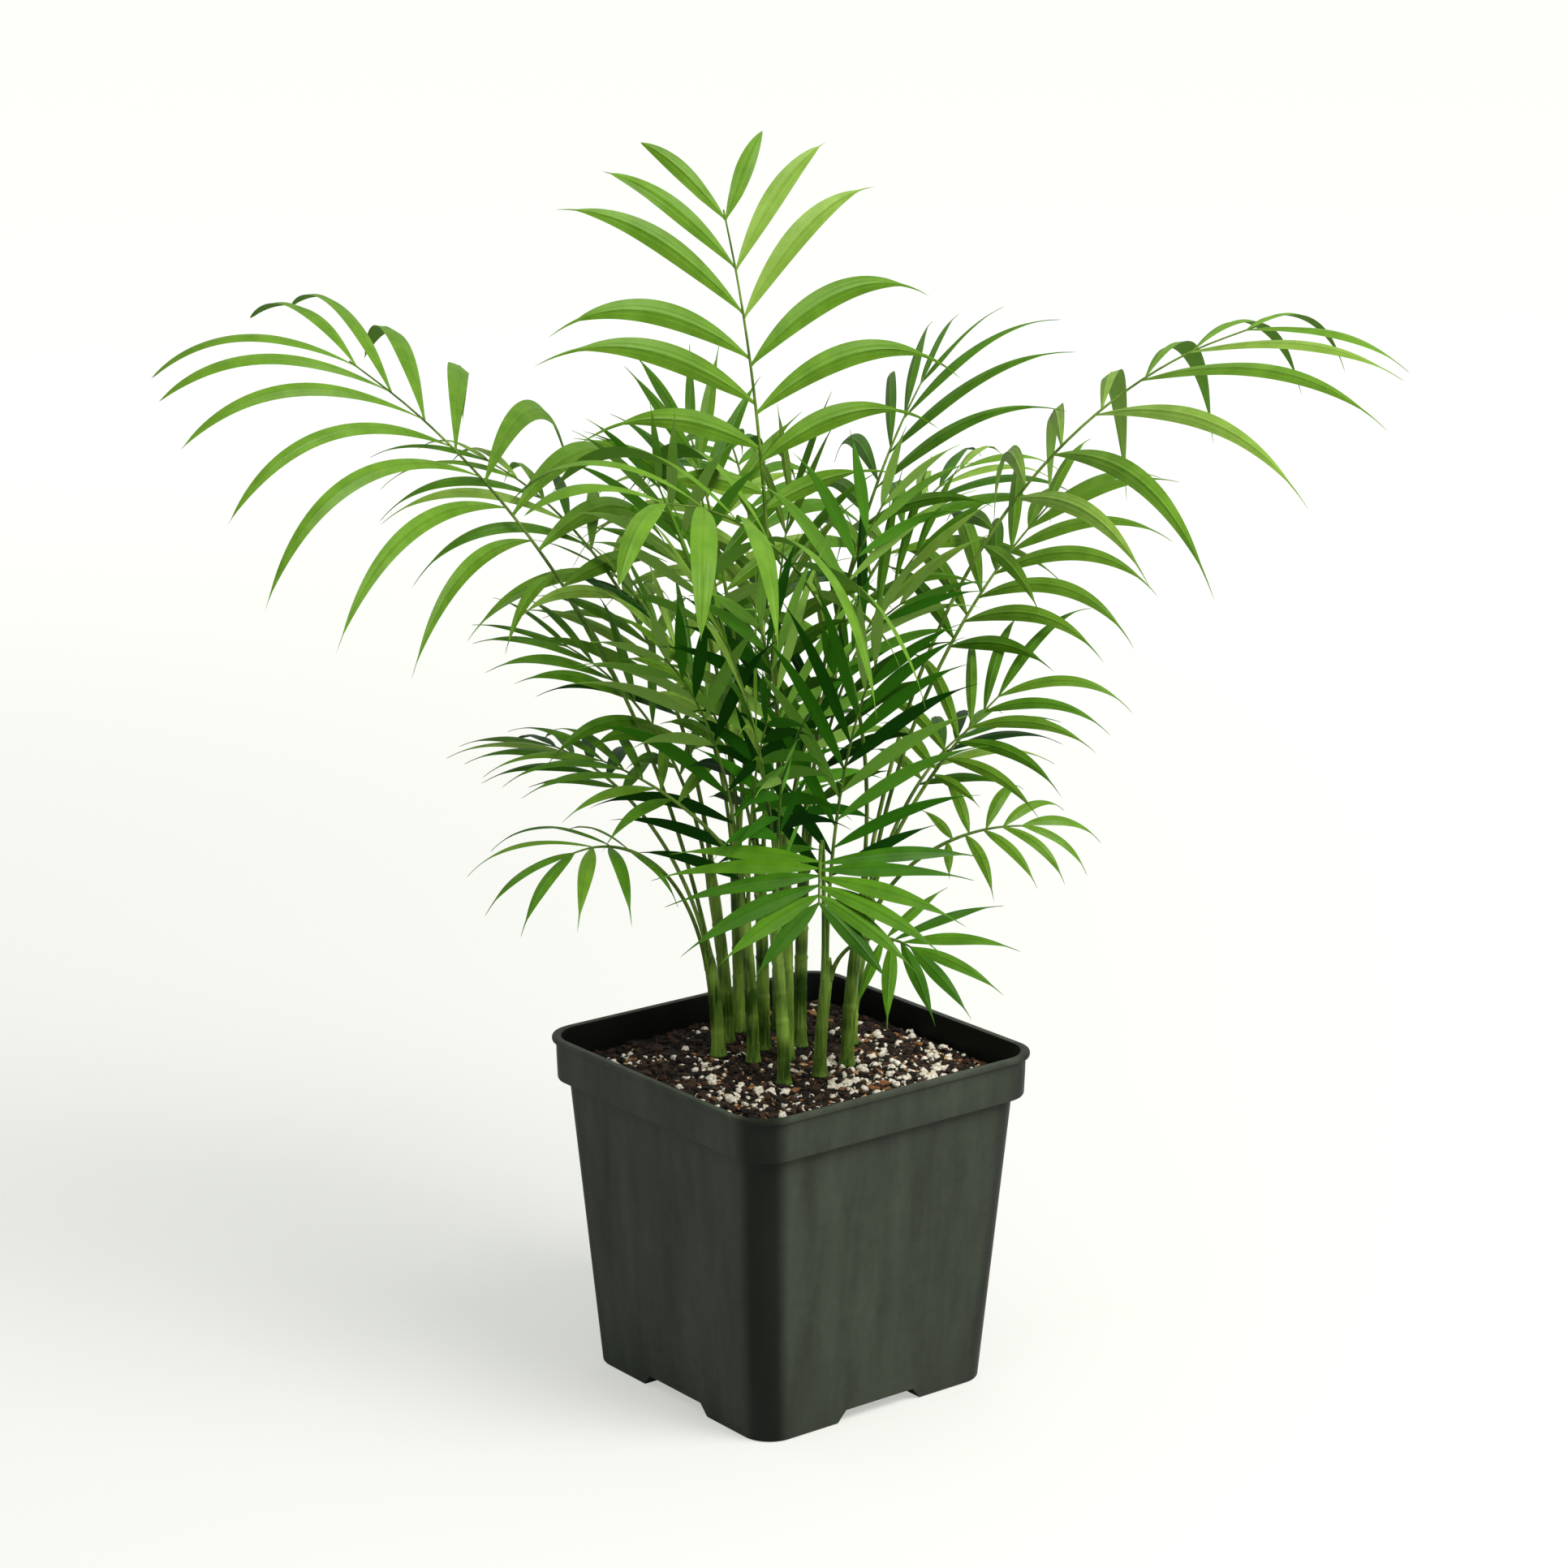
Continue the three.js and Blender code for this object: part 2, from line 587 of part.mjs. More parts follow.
// A leaflet sets out along its heading and sags more and more under its own weight.
function walkLeaflet({ root, heading, face, length, droop }, lift) {
  const stations = [];
  const point = root.clone();
  const along = heading.clone();
  along.z += Math.tan(radians(lift));
  along.normalize();
  const across = along.clone().cross(face).normalize();
  const steps = LEAFLET.bendSteps;
  for (let i = 0; i <= steps; i++) {
    stations.push({
      point: point.clone(),
      across: across.clone(),
      under: along.clone().cross(across).normalize(),
    });
    along.z -= (droop * (LEAFLET.sag[0] + (LEAFLET.sag[1] * i) / steps)) / steps;
    along.normalize();
    across.addScaledVector(along, -across.dot(along)).normalize();
    point.addScaledVector(along, length / steps);
  }
  return stations;
}

// A thin three-sided blade that starts as a point inside the rib: two margins, and a keel under
// the midrib.
function makeLeaflet(leaf, lift) {
  const path = walkLeaflet(leaf, lift);
  const shares = leaf.length < LEAFLET.longFrom ? LEAFLET.shortStations : LEAFLET.longStations;
  const blade = new THREE.SphereGeometry(1, 3, shares.length - 1);
  return solid(
    reshape(blade, ({ x, y, z }) => {
      const ring = Math.round((Math.acos(y) / Math.PI) * (shares.length - 1));
      const share = shares[ring];
      const place = Math.min(share, 0.9999) * LEAFLET.bendSteps;
      const i = Math.floor(place);
      const point = path[i].point.clone().lerp(path[i + 1].point, place - i);
      if (ring === 0 || ring === shares.length - 1) return point;
      const half = (leaf.width / 2) * leafOutline(share);
      const margin = Math.abs(z) < 1e-3 ? 0 : Math.sign(z);
      const keel = margin === 0 ? LEAFLET.keelShare * leaf.length : 0;
      return point
        .addScaledVector(path[i].across, margin * half)
        .addScaledVector(path[i].under, keel);
    }),
  );
}

// ---------------------------------------------------------------- assembly

const palm = new THREE.Group();
palm.name = "parlour_palm";

const finish = (color, roughness) =>
  new THREE.MeshStandardMaterial({ color, roughness, metalness: 0, flatShading: true });
const FINISHES = {
  pot: finish(0x2b2e2b, 0.55),
  soil: finish(0x2a1c14, 0.95),
  stem: finish(0x5d8236, 0.6),
  frond: finish(0x5a9a1f, 0.5),
};

const placed = []; // every solid so far, with its box, for the clearance tests

function boxOf(manifold) {
  const { min, max } = manifold.boundingBox();
  return new THREE.Box3(vec(...min), vec(...max));
}

function keep(owner, manifold) {
  placed.push({ owner, manifold, box: boxOf(manifold) });
}

function isClear(owner, manifold, gap) {
  const box = boxOf(manifold).expandByScalar(gap);
  return placed.every(
    (other) =>
      other.owner === owner ||
      !box.intersectsBox(other.box) ||
      manifold.minGap(other.manifold, gap) >= gap,
  );
}

function addNode(name, manifold, material) {
  const mesh = new THREE.Mesh(geometryOf(manifold), material);
  mesh.name = name;
  palm.add(mesh);
}

const pot = makePot();
const soil = makeSoil();
keep("pot", pot);
keep("soil", soil);
addNode("pot", pot, FINISHES.pot);
addNode("potting_mix", soil, FINISHES.soil);

for (const [name, spec] of Object.entries(STEMS)) {
  const stem = makeStem(spec);
  keep("stem_" + name, stem);
  addNode("stem_" + name, stem, FINISHES.stem);
}

const shafts = Object.entries(FRONDS).map(([name, spec]) => {
  const stations = walkFrond(spec);
  const shaft = makeShaft(spec, stations);
  keep(name, shaft);
  return { name, spec, stations, shaft };
});

// A leaflet that would touch another frond, a stem or the pot is lifted or lowered a little, or
// grows shorter, and is left out if that doesn't clear it.
const LIFTS = [0, 8, -8, 16, -16];
const GROWTHS = [1, 0.8, 0.6];

for (const [order, { name, spec, stations, shaft }] of shafts.entries()) {
  const blades = [];
  const plan = leafletPlan(spec, stations, order * 100);
  for (const leaf of plan) {
    const trials = GROWTHS.flatMap((growth) => LIFTS.map((lift) => ({ lift, growth })));
    const fit = trials
      .map(({ lift, growth }) => makeLeaflet({ ...leaf, length: leaf.length * growth }, lift))
      .find((blade) => isClear(name, blade, LEAF_GAP));
    if (fit) blades.push(fit);
  }
  blades.forEach((blade) => keep(name, blade));
  const frond = wasm.Manifold.union([shaft, ...blades]);
  addNode("frond_" + name, frond, FINISHES.frond);
}

export default palm;
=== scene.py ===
# %% [markdown]
# # A young parlour palm in a square nursery pot
# The palm is a clump of slender green stems. Each stem forks into a few leaf stalks, and each stalk
# carries a feather of narrow leaflets. The pot is thin moulded plastic, filled with a bark and perlite
# mix. The script dresses a plain engineering model of the plant: it keeps that model's sizes and its
# growing rule, and carries both to finer leaflets, ringed stems and loose grains of mix.

# %% Load the plain model
import math
import random

import bmesh
import bpy
from mathutils import Matrix, Vector, kdtree, noise


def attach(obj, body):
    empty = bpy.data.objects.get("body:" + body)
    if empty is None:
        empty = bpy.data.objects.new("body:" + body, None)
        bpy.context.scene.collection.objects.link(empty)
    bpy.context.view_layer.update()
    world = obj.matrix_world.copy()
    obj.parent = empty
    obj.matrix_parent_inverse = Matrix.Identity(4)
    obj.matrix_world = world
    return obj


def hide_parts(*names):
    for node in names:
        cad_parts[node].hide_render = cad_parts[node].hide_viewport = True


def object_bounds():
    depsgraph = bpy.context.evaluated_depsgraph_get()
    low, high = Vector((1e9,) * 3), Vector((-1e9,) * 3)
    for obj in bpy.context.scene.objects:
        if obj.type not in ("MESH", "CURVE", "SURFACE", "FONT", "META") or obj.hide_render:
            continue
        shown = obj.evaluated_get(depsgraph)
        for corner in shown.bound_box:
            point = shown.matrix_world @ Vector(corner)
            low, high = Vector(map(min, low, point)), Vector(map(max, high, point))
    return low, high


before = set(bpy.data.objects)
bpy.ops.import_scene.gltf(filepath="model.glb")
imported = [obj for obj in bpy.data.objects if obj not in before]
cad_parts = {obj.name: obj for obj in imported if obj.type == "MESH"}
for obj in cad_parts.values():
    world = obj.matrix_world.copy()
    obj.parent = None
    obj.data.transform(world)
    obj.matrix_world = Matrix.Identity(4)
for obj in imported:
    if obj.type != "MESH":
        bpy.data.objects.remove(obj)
cad_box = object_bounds()
MM = 0.001  # Blender works in metres, and the sizes below are in millimetres
plain_box = [round(c, 3) for c in (*cad_box[0], *cad_box[1])]
print("plain model:", len(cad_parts), "nodes, box", plain_box)

# %% [markdown]
# ## Camera
# A portrait lens from 1.6 m away, a little above the leaves and turned towards one corner of the pot.
# A camera can be turned by hand, by a Track To constraint, or by pointing its axis at a spot in code.
# The last needs no extra object, so it is used here.

# %% Camera
PICTURE_SIZE = 1932  # pixels, square
FOCAL_PIXELS = 5000
SENSOR_WIDTH = 36  # mm
CAMERA_TURN = math.radians(-38)
CAMERA_PITCH = math.radians(14.74)
CAMERA_DISTANCE = 1.585
AIM_HEIGHT = 0.2442
AIM_SHIFT = -0.0022  # to the camera's right

camera_right = Vector((math.cos(CAMERA_TURN), math.sin(CAMERA_TURN), 0))
camera_back = Vector(
    (
        math.sin(CAMERA_TURN) * math.cos(CAMERA_PITCH),
        -math.cos(CAMERA_TURN) * math.cos(CAMERA_PITCH),
        math.sin(CAMERA_PITCH),
    )
)
camera_aim = camera_right * AIM_SHIFT + Vector((0, 0, AIM_HEIGHT))
camera_data = bpy.data.cameras.new("camera")
camera_data.sensor_width = SENSOR_WIDTH
camera_data.lens = FOCAL_PIXELS / PICTURE_SIZE * SENSOR_WIDTH
camera = bpy.data.objects.new("camera", camera_data)
camera.location = camera_aim + camera_back * CAMERA_DISTANCE
camera.rotation_euler = camera_back.to_track_quat("Z", "Y").to_euler()
bpy.context.collection.objects.link(camera)
bpy.context.scene.camera = camera
print("camera at", [round(c, 3) for c in camera.location], "lens", round(camera_data.lens, 1), "mm")

# %% [markdown]
# ## Colours and nodes
# Paint swatches and screens give colours as sRGB hex values, and a renderer adds light in linear
# numbers, so one function turns the first into the second. Node materials can be wired by hand or in
# code. One helper adds a node with its settings and links, so a material reads like a list of steps.
# Most finishes of a plant and its pot end the same way, in one pattern that colours the surface and one
# that stands proud of it, so that ending is written once.

# %% Colour and node helpers
def linear_colour(hex_code):
    channels = [int(hex_code[i : i + 2], 16) / 255 for i in (1, 3, 5)]
    return (*(c / 12.92 if c <= 0.04045 else ((c + 0.055) / 1.055) ** 2.4 for c in channels), 1.0)


def plug(tree, node, sockets):
    """Gives each socket a plain value or a link from the output of another node."""
    for name, value in sockets.items():
        if isinstance(value, bpy.types.NodeSocket):
            tree.links.new(value, node.inputs[name])
        else:
            node.inputs[name].default_value = value


def add_node(tree, kind, sockets=None, stops=None, **settings):
    """Adds a node with its settings and links. Stops are places on a colour ramp with their hex value."""
    new = tree.nodes.new(kind)
    for name, value in settings.items():
        setattr(new, name, value)
    for index, (position, colour) in enumerate(stops or []):
        slots = new.color_ramp.elements
        slot = slots[index] if index < 2 else slots.new(position)
        slot.position = position
        slot.color = linear_colour(colour)
    plug(tree, new, sockets or {})
    return new


def new_material(name):
    """A material with one Principled shader, and Object coordinates to hang patterns on."""
    material = bpy.data.materials.new(name)
    material.use_nodes = True
    tree = material.node_tree
    tree.nodes.clear()
    shader = add_node(tree, "ShaderNodeBsdfPrincipled")
    add_node(tree, "ShaderNodeOutputMaterial", {"Surface": shader.outputs["BSDF"]})
    coordinates = add_node(tree, "ShaderNodeTexCoord")
    return material, tree, shader, coordinates.outputs["Object"]


def colour_and_relief(tree, shader, pattern, stops, grain, strength, depth, finish):
    """Colours a surface by one pattern, raises it by another, and sets the rest of its finish."""
    tone = add_node(tree, "ShaderNodeValToRGB", {"Fac": pattern}, stops=stops)
    relief = add_node(tree, "ShaderNodeBump", {"Height": grain, "Strength": strength, "Distance": depth})
    plug(tree, shader, {"Base Color": tone.outputs["Color"], "Normal": relief.outputs["Normal"]})
    plug(tree, shader, finish)


print("linear value of mid grey:", round(linear_colour("#808080")[0], 3))

# %% [markdown]
# ## Room: floor
# A plain pale floor that runs past the picture on every side. A studio could be a modelled room, but a
# floor and a sky give the same even light with no corners to hide. The floor is matt, and a faint glow
# is painted on it, painted light from no lamp: it is weakest on the left, where the shadow falls, and
# grows away from there. It shows to the camera alone, so it evens out the background and lights nothing.

# %% Floor
FLOOR_SIDE = 60.0
DIMMEST_SPOT = -0.45  # to the camera's left, where the painted glow is weakest
GLOW_FROM, GLOW_TO = 0.05, 2.4  # how far from that spot the glow starts and ends growing
DIM_GLOW, FULL_GLOW = 0.47, 0.78


def finished_object(name, bm):
    mesh = bpy.data.meshes.new(name)
    bm.to_mesh(mesh)
    bm.free()
    made = bpy.data.objects.new(name, mesh)
    bpy.context.collection.objects.link(made)
    return made


def painted_glow_floor_material():
    material, tree, shader, place = new_material("pale floor, matt, with painted glow")
    dimmest = camera_right * DIMMEST_SPOT
    away = add_node(tree, "ShaderNodeVectorMath", {0: place, 1: dimmest}, operation="DISTANCE")
    growth = {
        "Value": away.outputs["Value"], "From Min": GLOW_FROM, "From Max": GLOW_TO,
        "To Min": DIM_GLOW, "To Max": FULL_GLOW,
    }
    glow = add_node(tree, "ShaderNodeMapRange", growth, interpolation_type="SMOOTHSTEP")
    # painted light: the floor glows though it is no lamp, and only camera rays see the glow
    sight = add_node(tree, "ShaderNodeLightPath").outputs["Is Camera Ray"]
    seen = add_node(tree, "ShaderNodeMath", {0: glow.outputs["Result"], 1: sight}, operation="MULTIPLY")
    finish = {
        "Emission Strength": seen.outputs[0], "Emission Color": linear_colour("#fafbf5"),
        "Base Color": linear_colour("#a0a1a2"), "Roughness": 0.8, "Specular IOR Level": 0.1,
    }
    plug(tree, shader, finish)
    return material


def make_floor():
    bm = bmesh.new()
    bmesh.ops.create_grid(bm, x_segments=1, y_segments=1, size=FLOOR_SIDE / 2)
    floor = finished_object("floor", bm)
    floor.data.materials.append(painted_glow_floor_material())


make_floor()
print("floor:", FLOOR_SIDE, "m square")

# %% [markdown]
# ## Room: lamps and sky
# Two large round lamps and a pale sky, brighter overhead than at the horizon. The large lamp on the
# right is the key: it puts the plant's soft shadow on the floor at the left. Point lamps would draw hard
# shadows, and wide discs a metre or two away blur them as a studio's softboxes do.

# %% Lamps and sky
LAMP_AIM = Vector((0, 0, 0.25))  # the middle of the plant
HORIZON_LIGHT, ZENITH_LIGHT = 0.35, 0.85


def make_lamp(name, towards_right, towards_camera, height, size, power, colour):
    lamp_data = bpy.data.lights.new(name, "AREA")
    lamp_data.shape = "DISK"
    lamp_data.size = size
    lamp_data.energy = power
    lamp_data.color = linear_colour(colour)[:3]
    lamp = bpy.data.objects.new(name, lamp_data)
    ahead = Vector((camera_back.x, camera_back.y, 0)).normalized()
    lamp.location = camera_right * towards_right + ahead * towards_camera + Vector((0, 0, height))
    lamp.rotation_euler = (lamp.location - LAMP_AIM).to_track_quat("Z", "Y").to_euler()
    bpy.context.collection.objects.link(lamp)


make_lamp("key_lamp", 1.3, 0.8, 2.0, 1.5, 72, "#fffaf2")
make_lamp("fill_lamp", -1.6, 1.6, 1.4, 1.6, 3, "#f6faff")

sky = bpy.data.worlds.new("pale_sky")
sky.use_nodes = True
way = add_node(sky.node_tree, "ShaderNodeTexCoord")
height = add_node(sky.node_tree, "ShaderNodeSeparateXYZ", {"Vector": way.outputs["Generated"]})
grading = {"Value": height.outputs["Z"], "To Min": HORIZON_LIGHT, "To Max": ZENITH_LIGHT}
light = add_node(sky.node_tree, "ShaderNodeMapRange", grading).outputs["Result"]
finish = {"Color": linear_colour("#fdfff8"), "Strength": light}
plug(sky.node_tree, sky.node_tree.nodes["Background"], finish)
bpy.context.scene.world = sky
bpy.context.scene.view_settings.view_transform = "Standard"

# %% [markdown]
# ## Rings wrapped round a shape
# The pot, the stems, the stalks and the leaflets are all closed forms whose cross-section changes on
# the way. A curve with a bevel makes round ones only. Here a flat grid is wrapped instead: its rows
# become rings along the form, its two open edges are merged, and its first and last row each close to
# a point. Many small steps on a large mesh are slow, so pieces are made apart and poured together.

# %% Wrapped rings and joined pieces
MERGE = 0.002 * MM
LEAF_UV = "along_the_leaf"


def wrap_rings(bm, rings, around, corner, ends, material_at=None, uv_at=None):
    """Adds a closed form. corner(ring, column) and the two ends are places in millimetres."""
    last = rings + 1
    made = bmesh.ops.create_grid(bm, x_segments=last, y_segments=around, size=0.5)["verts"]
    cells = {}
    for vert in made:
        row, column = round((vert.co.x + 0.5) * last), round((vert.co.y + 0.5) * around)
        cells[vert] = row, column
        if row in (0, last):
            vert.co = ends[row // last] * MM
        else:
            vert.co = corner(row - 1, column % around) * MM
    uv_layer = (bm.loops.layers.uv.get(LEAF_UV) or bm.loops.layers.uv.new(LEAF_UV)) if uv_at else None
    for face in {face for vert in made for face in vert.link_faces}:
        face.smooth = True
        if material_at:
            face.material_index = material_at(min(cells[vert][1] for vert in face.verts))
        if uv_at:
            for loop in face.loops:
                row, column = cells[loop.vert]
                loop[uv_layer].uv = uv_at(row, column % around)
    bmesh.ops.remove_doubles(bm, verts=made, dist=MERGE)


def pour(piece, whole):
    """Adds a finished bmesh to a larger one, with its faces turned outwards."""
    bmesh.ops.recalc_face_normals(piece, faces=piece.faces)
    mesh = bpy.data.meshes.new("piece")
    piece.to_mesh(mesh)
    piece.free()
    whole.from_mesh(mesh)
    bpy.data.meshes.remove(mesh)


print("corners closer than", MERGE, "m are merged")

# %% [markdown]
# ## Pot: sizes and rings
# A nursery pot is one thin shell of black polypropylene, blown or pressed into a mould that tapers so
# the pots nest. It could be a cube with bevels and a taper. Here its wall is a stack of rings: each is
# one level of the wall, a rounded square of its own width, so every fillet is under control.

# %% Pot sizes and the rounded ring
POT = dict(
    height=138.5, rim_side=141.6, band_height=18, body_top_side=133.5, base_side=115,
    lip_height=2.4, lip_proud=1.2, band_taper=0.8, wall=1.8, floor=9, corner_share=0.105,
    notch_width=34, notch_height=5, notch_depth=13, drain_radius=4.5,
)
QUARTER_POINTS = 28  # points of a ring from the middle of one wall to the middle of the next
STRAIGHT_SHARE = 0.25  # share of them on each straight half wall; the rest go round the corner
BAND_FOOT = POT["height"] - POT["band_height"]


def ring_place(side, index):
    """The point of a rounded square at one of its points, counted from the middle of the +X wall."""
    half = side / 2
    radius = side * POT["corner_share"]
    quarter, step = divmod(index, QUARTER_POINTS)
    share = step / QUARTER_POINTS
    if share < STRAIGHT_SHARE:
        place = Vector((half, share / STRAIGHT_SHARE * (half - radius), 0))
    elif share <= 1 - STRAIGHT_SHARE:
        turn = (share - STRAIGHT_SHARE) / (1 - 2 * STRAIGHT_SHARE) * math.pi / 2
        centre = half - radius
        place = Vector((centre + radius * math.cos(turn), centre + radius * math.sin(turn), 0))
    else:
        place = Vector(((1 - share) / STRAIGHT_SHARE * (half - radius), half, 0))
    return Matrix.Rotation(quarter * math.pi / 2, 3, "Z") @ place


def body_side(z):
    return POT["base_side"] + (POT["body_top_side"] - POT["base_side"]) * z / BAND_FOOT


print("ring of", 4 * QUARTER_POINTS, "points, wall at half height", round(body_side(60), 1), "mm across")

# %% [markdown]
# ## Pot: shell
# The profile runs from the underside out and up the wall, over the lip and down the inside to the
# floor. The floor is drawn thick, because the drainage arches are then cut into it from below. A cut
# with a Boolean modifier is quick and exact on a closed shell, and its cutters are thrown away after.

# %% Pot shell
ROUNDING = 0.7  # mm, the moulded edges


def pot_profile():
    """Pairs of side and height, from the edge of the underside to the edge of the inner floor."""
    base, band, lip = POT["base_side"], POT["rim_side"], POT["rim_side"] + 2 * POT["lip_proud"]
    top, foot, wall = POT["height"], BAND_FOOT, POT["wall"]
    band_foot_side = band - POT["band_taper"]
    lip_foot = top - POT["lip_height"]
    body_top = body_side(foot)
    shoulder = foot + wall
    return [
        # the underside and its rounded edge
        (base - 3, 0),
        (base - 2 * ROUNDING, 0),
        (base - 0.6 * ROUNDING, 0.3 * ROUNDING),
        (body_side(ROUNDING), ROUNDING),
        # the wall, and the hollow where it meets the band
        (body_side(40), 40),
        (body_side(80), 80),
        (body_side(foot - 2), foot - 2),
        (body_top, foot - 0.9),
        (body_top + 0.5, foot - 0.25),
        (body_top + 1.6, foot),
        # the band and its rounded lower edge
        (band_foot_side - 2 * ROUNDING, foot),
        (band_foot_side - 0.5 * ROUNDING, foot + 0.3 * ROUNDING),
        (band_foot_side, foot + ROUNDING),
        (band - 0.3, lip_foot - 6),
        (band - 0.1, lip_foot - 0.6),
        (band + 0.3, lip_foot - 0.1),
        # the lip
        (lip - 1.0, lip_foot),
        (lip - 0.3, lip_foot + 0.25),
        (lip, lip_foot + 0.8),
        (lip, top - 0.8),
        (lip - 0.4, top - 0.25),
        (lip - 1.4, top),
        # the inner wall, with its shoulder behind the band, and the floor
        (band - 2 * wall + 1.4, top),
        (band - 2 * wall + 0.4, top - 0.3),
        (band - 2 * wall, top - 0.9),
        (band_foot_side - 2 * wall, shoulder + 1),
        (body_side(shoulder) - 2 * wall + 2, shoulder),
        (body_side(shoulder) - 2 * wall, shoulder - 1),
        (body_side(POT["floor"]) - 2 * wall, POT["floor"]),
    ]


def make_shell():
    bm = bmesh.new()
    profile = pot_profile()

    def corner(ring, column):
        side, z = profile[ring]
        return ring_place(side, column) + Vector((0, 0, z))

    ends = [Vector((0, 0, z)) for _, z in (profile[0], profile[-1])]
    wrap_rings(bm, len(profile), 4 * QUARTER_POINTS, corner, ends)
    bmesh.ops.recalc_face_normals(bm, faces=bm.faces)
    return bm


pot = finished_object("square_pot", make_shell())
print("pot shell:", len(pot.data.polygons), "faces")

# %% [markdown]
# ## Pot: drainage arches
# Each wall has a low arch at its foot with a hole through the floor above it, so that water runs out.
# Rings can't open a wall, so they are cut after it is wrapped. The arch cutter is a cube whose lower
# edge is spread, and the hole cutter is a short cylinder.

# %% Drainage arches
OVERCUT = 10  # mm, how far a cutter runs past the face it opens
DRAIN_SIDES = 32
POT_EDGE = math.radians(32)  # an edge sharper than this isn't shaded smooth


def arch_cutter(bm, turn):
    depth = POT["notch_depth"] + OVERCUT
    made = bmesh.ops.create_cube(bm, size=1)["verts"]
    for vert in made:
        low = vert.co.z < 0
        spread = 1 + 2 * POT["notch_height"] / POT["notch_width"] if low else 1
        vert.co.x *= POT["notch_width"] * spread
        vert.co.y = vert.co.y * depth + (POT["base_side"] + 2 * OVERCUT - depth) / 2
        vert.co.z = -1 if low else POT["notch_height"]
    bmesh.ops.transform(bm, matrix=Matrix.Scale(MM, 4) @ Matrix.Rotation(turn, 4, "Z"), verts=made)


def hole_cutter(bm, turn):
    radius = POT["drain_radius"]
    made = bmesh.ops.create_cone(
        bm, cap_ends=True, segments=DRAIN_SIDES, radius1=radius, radius2=radius, depth=2 * OVERCUT
    )["verts"]
    out = Matrix.Translation((0, (POT["base_side"] - POT["notch_depth"]) / 2, POT["notch_height"]))
    place = Matrix.Scale(MM, 4) @ Matrix.Rotation(turn, 4, "Z") @ out
    bmesh.ops.transform(bm, matrix=place, verts=made)


def cut_away(target, make_cutter):
    bm = bmesh.new()
    for quarter in range(4):
        make_cutter(bm, quarter * math.pi / 2)
    cutter = finished_object("cutter", bm)
    cut = target.modifiers.new("cut", "BOOLEAN")
    cut.operation = "DIFFERENCE"
    cut.object = cutter
    cut.solver = "EXACT"
    settled = target.evaluated_get(bpy.context.evaluated_depsgraph_get())
    target.data = bpy.data.meshes.new_from_object(settled)
    target.modifiers.clear()
    bpy.data.objects.remove(cutter)


cut_away(pot, arch_cutter)
cut_away(pot, hole_cutter)
pot.data.name = "square_pot"
for face in pot.data.polygons:
    face.use_smooth = True
pot.data.set_sharp_from_angle(angle=POT_EDGE)
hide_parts("pot")
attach(pot, "root")
print("pot with arches:", len(pot.data.polygons), "faces")

# %% [markdown]
# ## Pot: outer wall
# The plastic is polypropylene, pressed in a mould and satin black. Dust and fine scuffs turn its flat
# walls grey, in broad streaks that run down the wall, while the rounded corners keep little of the dust
# and are drawn dark: that is a painted reflection, standing in for the darker reflection that a rounded
# corner shows. The skin has the fine grain of a spark-eroded mould, drawn at 0.8 mm so that it shows. The
# streaks could be painted, but noise that is stretched along the wall draws them as well.

# %% Outer wall
GRAIN, SPECK, STREAK = 0.8 * MM, 5 * MM, 14 * MM
CORNER_START, CORNER_END = 0.76, 0.9  # the smaller of |x| and |y| as a share of the larger
CORNER_DUST_AND_REFLECTION = 0.2  # share of the dust tone kept on a corner; the corner's darkness is a painted reflection
CLEAN_ROUGHNESS, DUSTY_ROUGHNESS = 0.36, 0.52

pot_plastic, tree, shader, place = new_material("polypropylene, moulded, satin black")
axes = add_node(tree, "ShaderNodeSeparateXYZ", {"Vector": place})
spans = [
    add_node(tree, "ShaderNodeMath", {0: axes.outputs[axis]}, operation="ABSOLUTE").outputs[0]
    for axis in "XY"
]
smaller, larger = (
    add_node(tree, "ShaderNodeMath", {0: spans[0], 1: spans[1]}, operation=which).outputs[0]
    for which in ("MINIMUM", "MAXIMUM")
)
near_corner = add_node(tree, "ShaderNodeMath", {0: smaller, 1: larger}, operation="DIVIDE")
stretch = add_node(tree, "ShaderNodeMapping", {"Vector": place, "Scale": (1, 1, 0.18)})
pattern = {"Vector": stretch.outputs["Vector"], "Scale": 1 / STREAK, "Detail": 5.0, "Roughness": 0.6}
streaks = add_node(tree, "ShaderNodeTexNoise", pattern).outputs["Fac"]
pattern = {"Vector": place, "Scale": 1 / SPECK, "Detail": 8.0, "Roughness": 0.7}
specks = add_node(tree, "ShaderNodeTexNoise", pattern).outputs["Fac"]
cast = add_node(tree, "ShaderNodeMix", {"Factor": 0.25, "A": streaks, "B": specks})
# painted reflection: the corners keep little of the dust tone, so they turn dark
painted_corner_reflection = {
    "Value": near_corner.outputs[0], "From Min": CORNER_START, "From Max": CORNER_END,
    "To Min": 1.0, "To Max": CORNER_DUST_AND_REFLECTION,
}
left = add_node(tree, "ShaderNodeMapRange", painted_corner_reflection, interpolation_type="SMOOTHSTEP").outputs["Result"]
dust_and_corner_reflection = add_node(tree, "ShaderNodeMath", {0: cast.outputs[0], 1: left}, operation="MULTIPLY").outputs[0]
dulling = {
    "Value": dust_and_corner_reflection, "From Min": 0.1, "From Max": 0.6,
    "To Min": CLEAN_ROUGHNESS, "To Max": DUSTY_ROUGHNESS,
}
gloss = add_node(tree, "ShaderNodeMapRange", dulling)
grain = add_node(tree, "ShaderNodeTexNoise", {"Vector": place, "Scale": 1 / GRAIN, "Detail": 2.0})
dust_and_corner_reflection_tones = [(0.1, "#151a13"), (0.42, "#353b32"), (0.62, "#41483e")]
finish = {"Roughness": gloss.outputs["Result"], "IOR": 1.49, "Specular IOR Level": 0.2}
